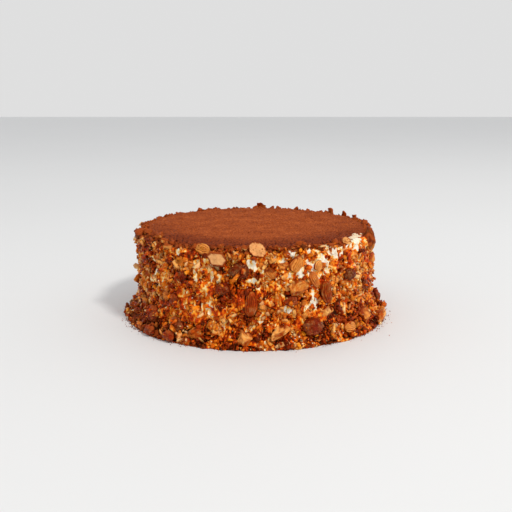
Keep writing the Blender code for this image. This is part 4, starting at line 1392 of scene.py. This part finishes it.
# Name, slot, make, how many, where, tints, widths (mm: least, most, slenderness), roughness, IOR
CRUMB_KINDS = (
    ("amber_caramel_grains", "cream_coat", shard(), 1900, on_amber, AMBER, (0.9, 4.6), 0.1, 1.4),
    ("toasted_nut_crumbs", "almond_flesh", shard(), 2300, on_toasted, TOASTED, (0.9, 5.6, 1.3), 0.3, 1.3),
    ("burnt_crumbs", "dark_praline", shard(), 2200, on_burnt, BURNT, (0.9, 4.6), 0.12, 1.4),
    ("skin_flakes", "almond_skin", flake(), 700, on_burnt, BURNT, (2.2, 5.0), 0.3, 1.3),
    ("cream_flecks", "cream_coat", ball(), 2900, on_cream, FLECKS_AND_GLINTS, (0.6, 2.2), 0.2, 1.4),
)
for seed, (name, slot, make, count, wanted, palette, widths, roughness, ior) in enumerate(CRUMB_KINDS, 1):
    rng = np.random.default_rng(CRUMB_SEED + seed)
    spots, normals = crumb_spots(count, rng, wanted)
    sizes = crumb_sizes(count, rng, *widths)
    flat = name == "skin_flakes"
    if flat:
        sizes[:, 2] = FLAKE_THICK
    mesh = crumbs(name, make, spots, normals, sizes, rng, flat)
    tint, dusted = crumb_tints(palette, spots, rng, len(make[0]))
    store(mesh, tint=tint, dusted=dusted, soak=each(soak(spots), len(make[0])))
    add_piece(name, mesh, crumb_finish(name + "_finish", roughness, ior), slot)

# ---- Loose cocoa -------------------------------------------------------------------------------
# Coarser grains and clots of the powder: on the flat top, over the rim and fallen as dust round
# the foot.

COCOA_SEED = 70
TOP_GRAINS = 1500
RIM_GRAINS = 1400
FOOT_GRAINS = 3100
FOOT_DRIFT = (0.9 * MM, 1.7 * MM)  # how far foot dust strays: front and back, left and right
COCOA_TINTS = shades((186, 90, 40), (160, 70, 28), (206, 108, 52), (124, 48, 14))
FOOT_DRIFT_START = 2.0 * MM  # in from the heap's edge


def cocoa_grains():
    """Grains on the top, the rim and the foot's edge, in that order."""
    rng = np.random.default_rng(COCOA_SEED)
    radius = COCOA_RADIUS * np.sqrt(rng.uniform(size=TOP_GRAINS))
    turn = rng.uniform(0.0, 2.0 * math.pi, TOP_GRAINS)
    lid = tree_of(cocoa_layer)
    top = []
    for across, angle in zip(radius, turn):
        start = Vector((across * math.sin(angle), -across * math.cos(angle), RAY_LEVEL))
        top.append(lid.ray_cast(start, -UP)[0] or UP * COCOA_LEVEL)
    rim, rim_normals = crumb_spots(RIM_GRAINS, rng, cocoa_cover, (0.75, 0.995))
    angle = rng.uniform(0.0, 2.0 * math.pi, FOOT_GRAINS)
    sideways = np.sin(angle) ** 2
    spread, drift = within(FOOT_SPREAD, sideways), within(FOOT_DRIFT, sideways)
    out = SIDE_RADIUS + spread - FOOT_DRIFT_START + rng.exponential(1.0, FOOT_GRAINS) * drift
    foot = np.stack((out * np.sin(angle), -out * np.cos(angle), np.full(FOOT_GRAINS, 0.2 * MM)), axis=1)
    spots = np.concatenate((np.array(top), rim, foot))
    normals = np.concatenate((np.tile(UP, (TOP_GRAINS, 1)), rim_normals, np.tile(UP, (FOOT_GRAINS, 1))))
    sizes = crumb_sizes(len(spots), rng, 0.45, 1.2, 1.0, 2.5)
    make = ball()
    mesh = crumbs("cocoa_grains", make, spots, normals, sizes, rng, sunk=0.25)
    colours = np.array(COCOA_TINTS)[rng.integers(len(COCOA_TINTS), size=len(spots))]
    size = len(make[0])
    store(mesh, tint=each(colours, size), dusted=np.ones(len(spots) * size))
    return mesh


add_piece("cocoa_grains", cocoa_grains(), crumb_finish("cocoa_grain", 0.4, 1.15), "cocoa_powder")

# ---- Floor, light and camera -------------------------------------------------------------------
# A plain pale floor under one large key light from the right, with the room's light all round.
# The camera stands in front, a little above the cake.

FLOOR_SIZE = 24.0
CAMERA_PLACE = (0.0005, -0.547, 0.174)
CAMERA_PITCH = 13.05
CAMERA_LENS = 45.0
KEY_BEARING = 40.0
KEY_RISE = 48.0
KEY_DISTANCE = 3.2
KEY_SIZE = 0.5
KEY_POWER = 50.0
KEY_COLOUR = (1.0, 0.97, 0.92)
ROOM_LIGHT = 0.74


def add_floor():
    form = bmesh.new()
    bmesh.ops.create_grid(form, x_segments=8, y_segments=8, size=FLOOR_SIZE / 2)
    mesh = bpy.data.meshes.new("floor")
    form.to_mesh(mesh)
    form.free()
    floor = in_scene("floor", mesh)
    paint = Finish("pale_floor", Roughness=0.7)
    paint.feed("Base Color", paint.mix(paint.grain(400.0), (226, 227, 228), (229, 230, 231)))
    mesh.materials.append(paint.material)


def add_light():
    lamp = bpy.data.lights.new("key", "AREA")
    lamp.shape = "DISK"
    lamp.size = KEY_SIZE
    lamp.energy = KEY_POWER
    lamp.color = KEY_COLOUR
    key = in_scene("key", lamp)
    key.location = outward(KEY_BEARING, KEY_RISE) * KEY_DISTANCE
    key.rotation_euler = (-key.location).to_track_quat("-Z", "Y").to_euler()
    room = bpy.data.worlds.new("room")
    room.use_nodes = True
    room.node_tree.nodes["Background"].inputs["Color"].default_value = (1.0, 1.0, 1.0, 1.0)
    room.node_tree.nodes["Background"].inputs["Strength"].default_value = ROOM_LIGHT
    bpy.context.scene.world = room


def add_camera():
    lens = bpy.data.cameras.new("camera")
    lens.lens = CAMERA_LENS
    camera = in_scene("camera", lens)
    camera.location = CAMERA_PLACE
    camera.rotation_euler = (math.radians(90.0 - CAMERA_PITCH), 0.0, 0.0)
    bpy.context.scene.camera = camera
    bpy.context.scene.view_settings.view_transform = "Standard"


add_floor()
add_light()
add_camera()
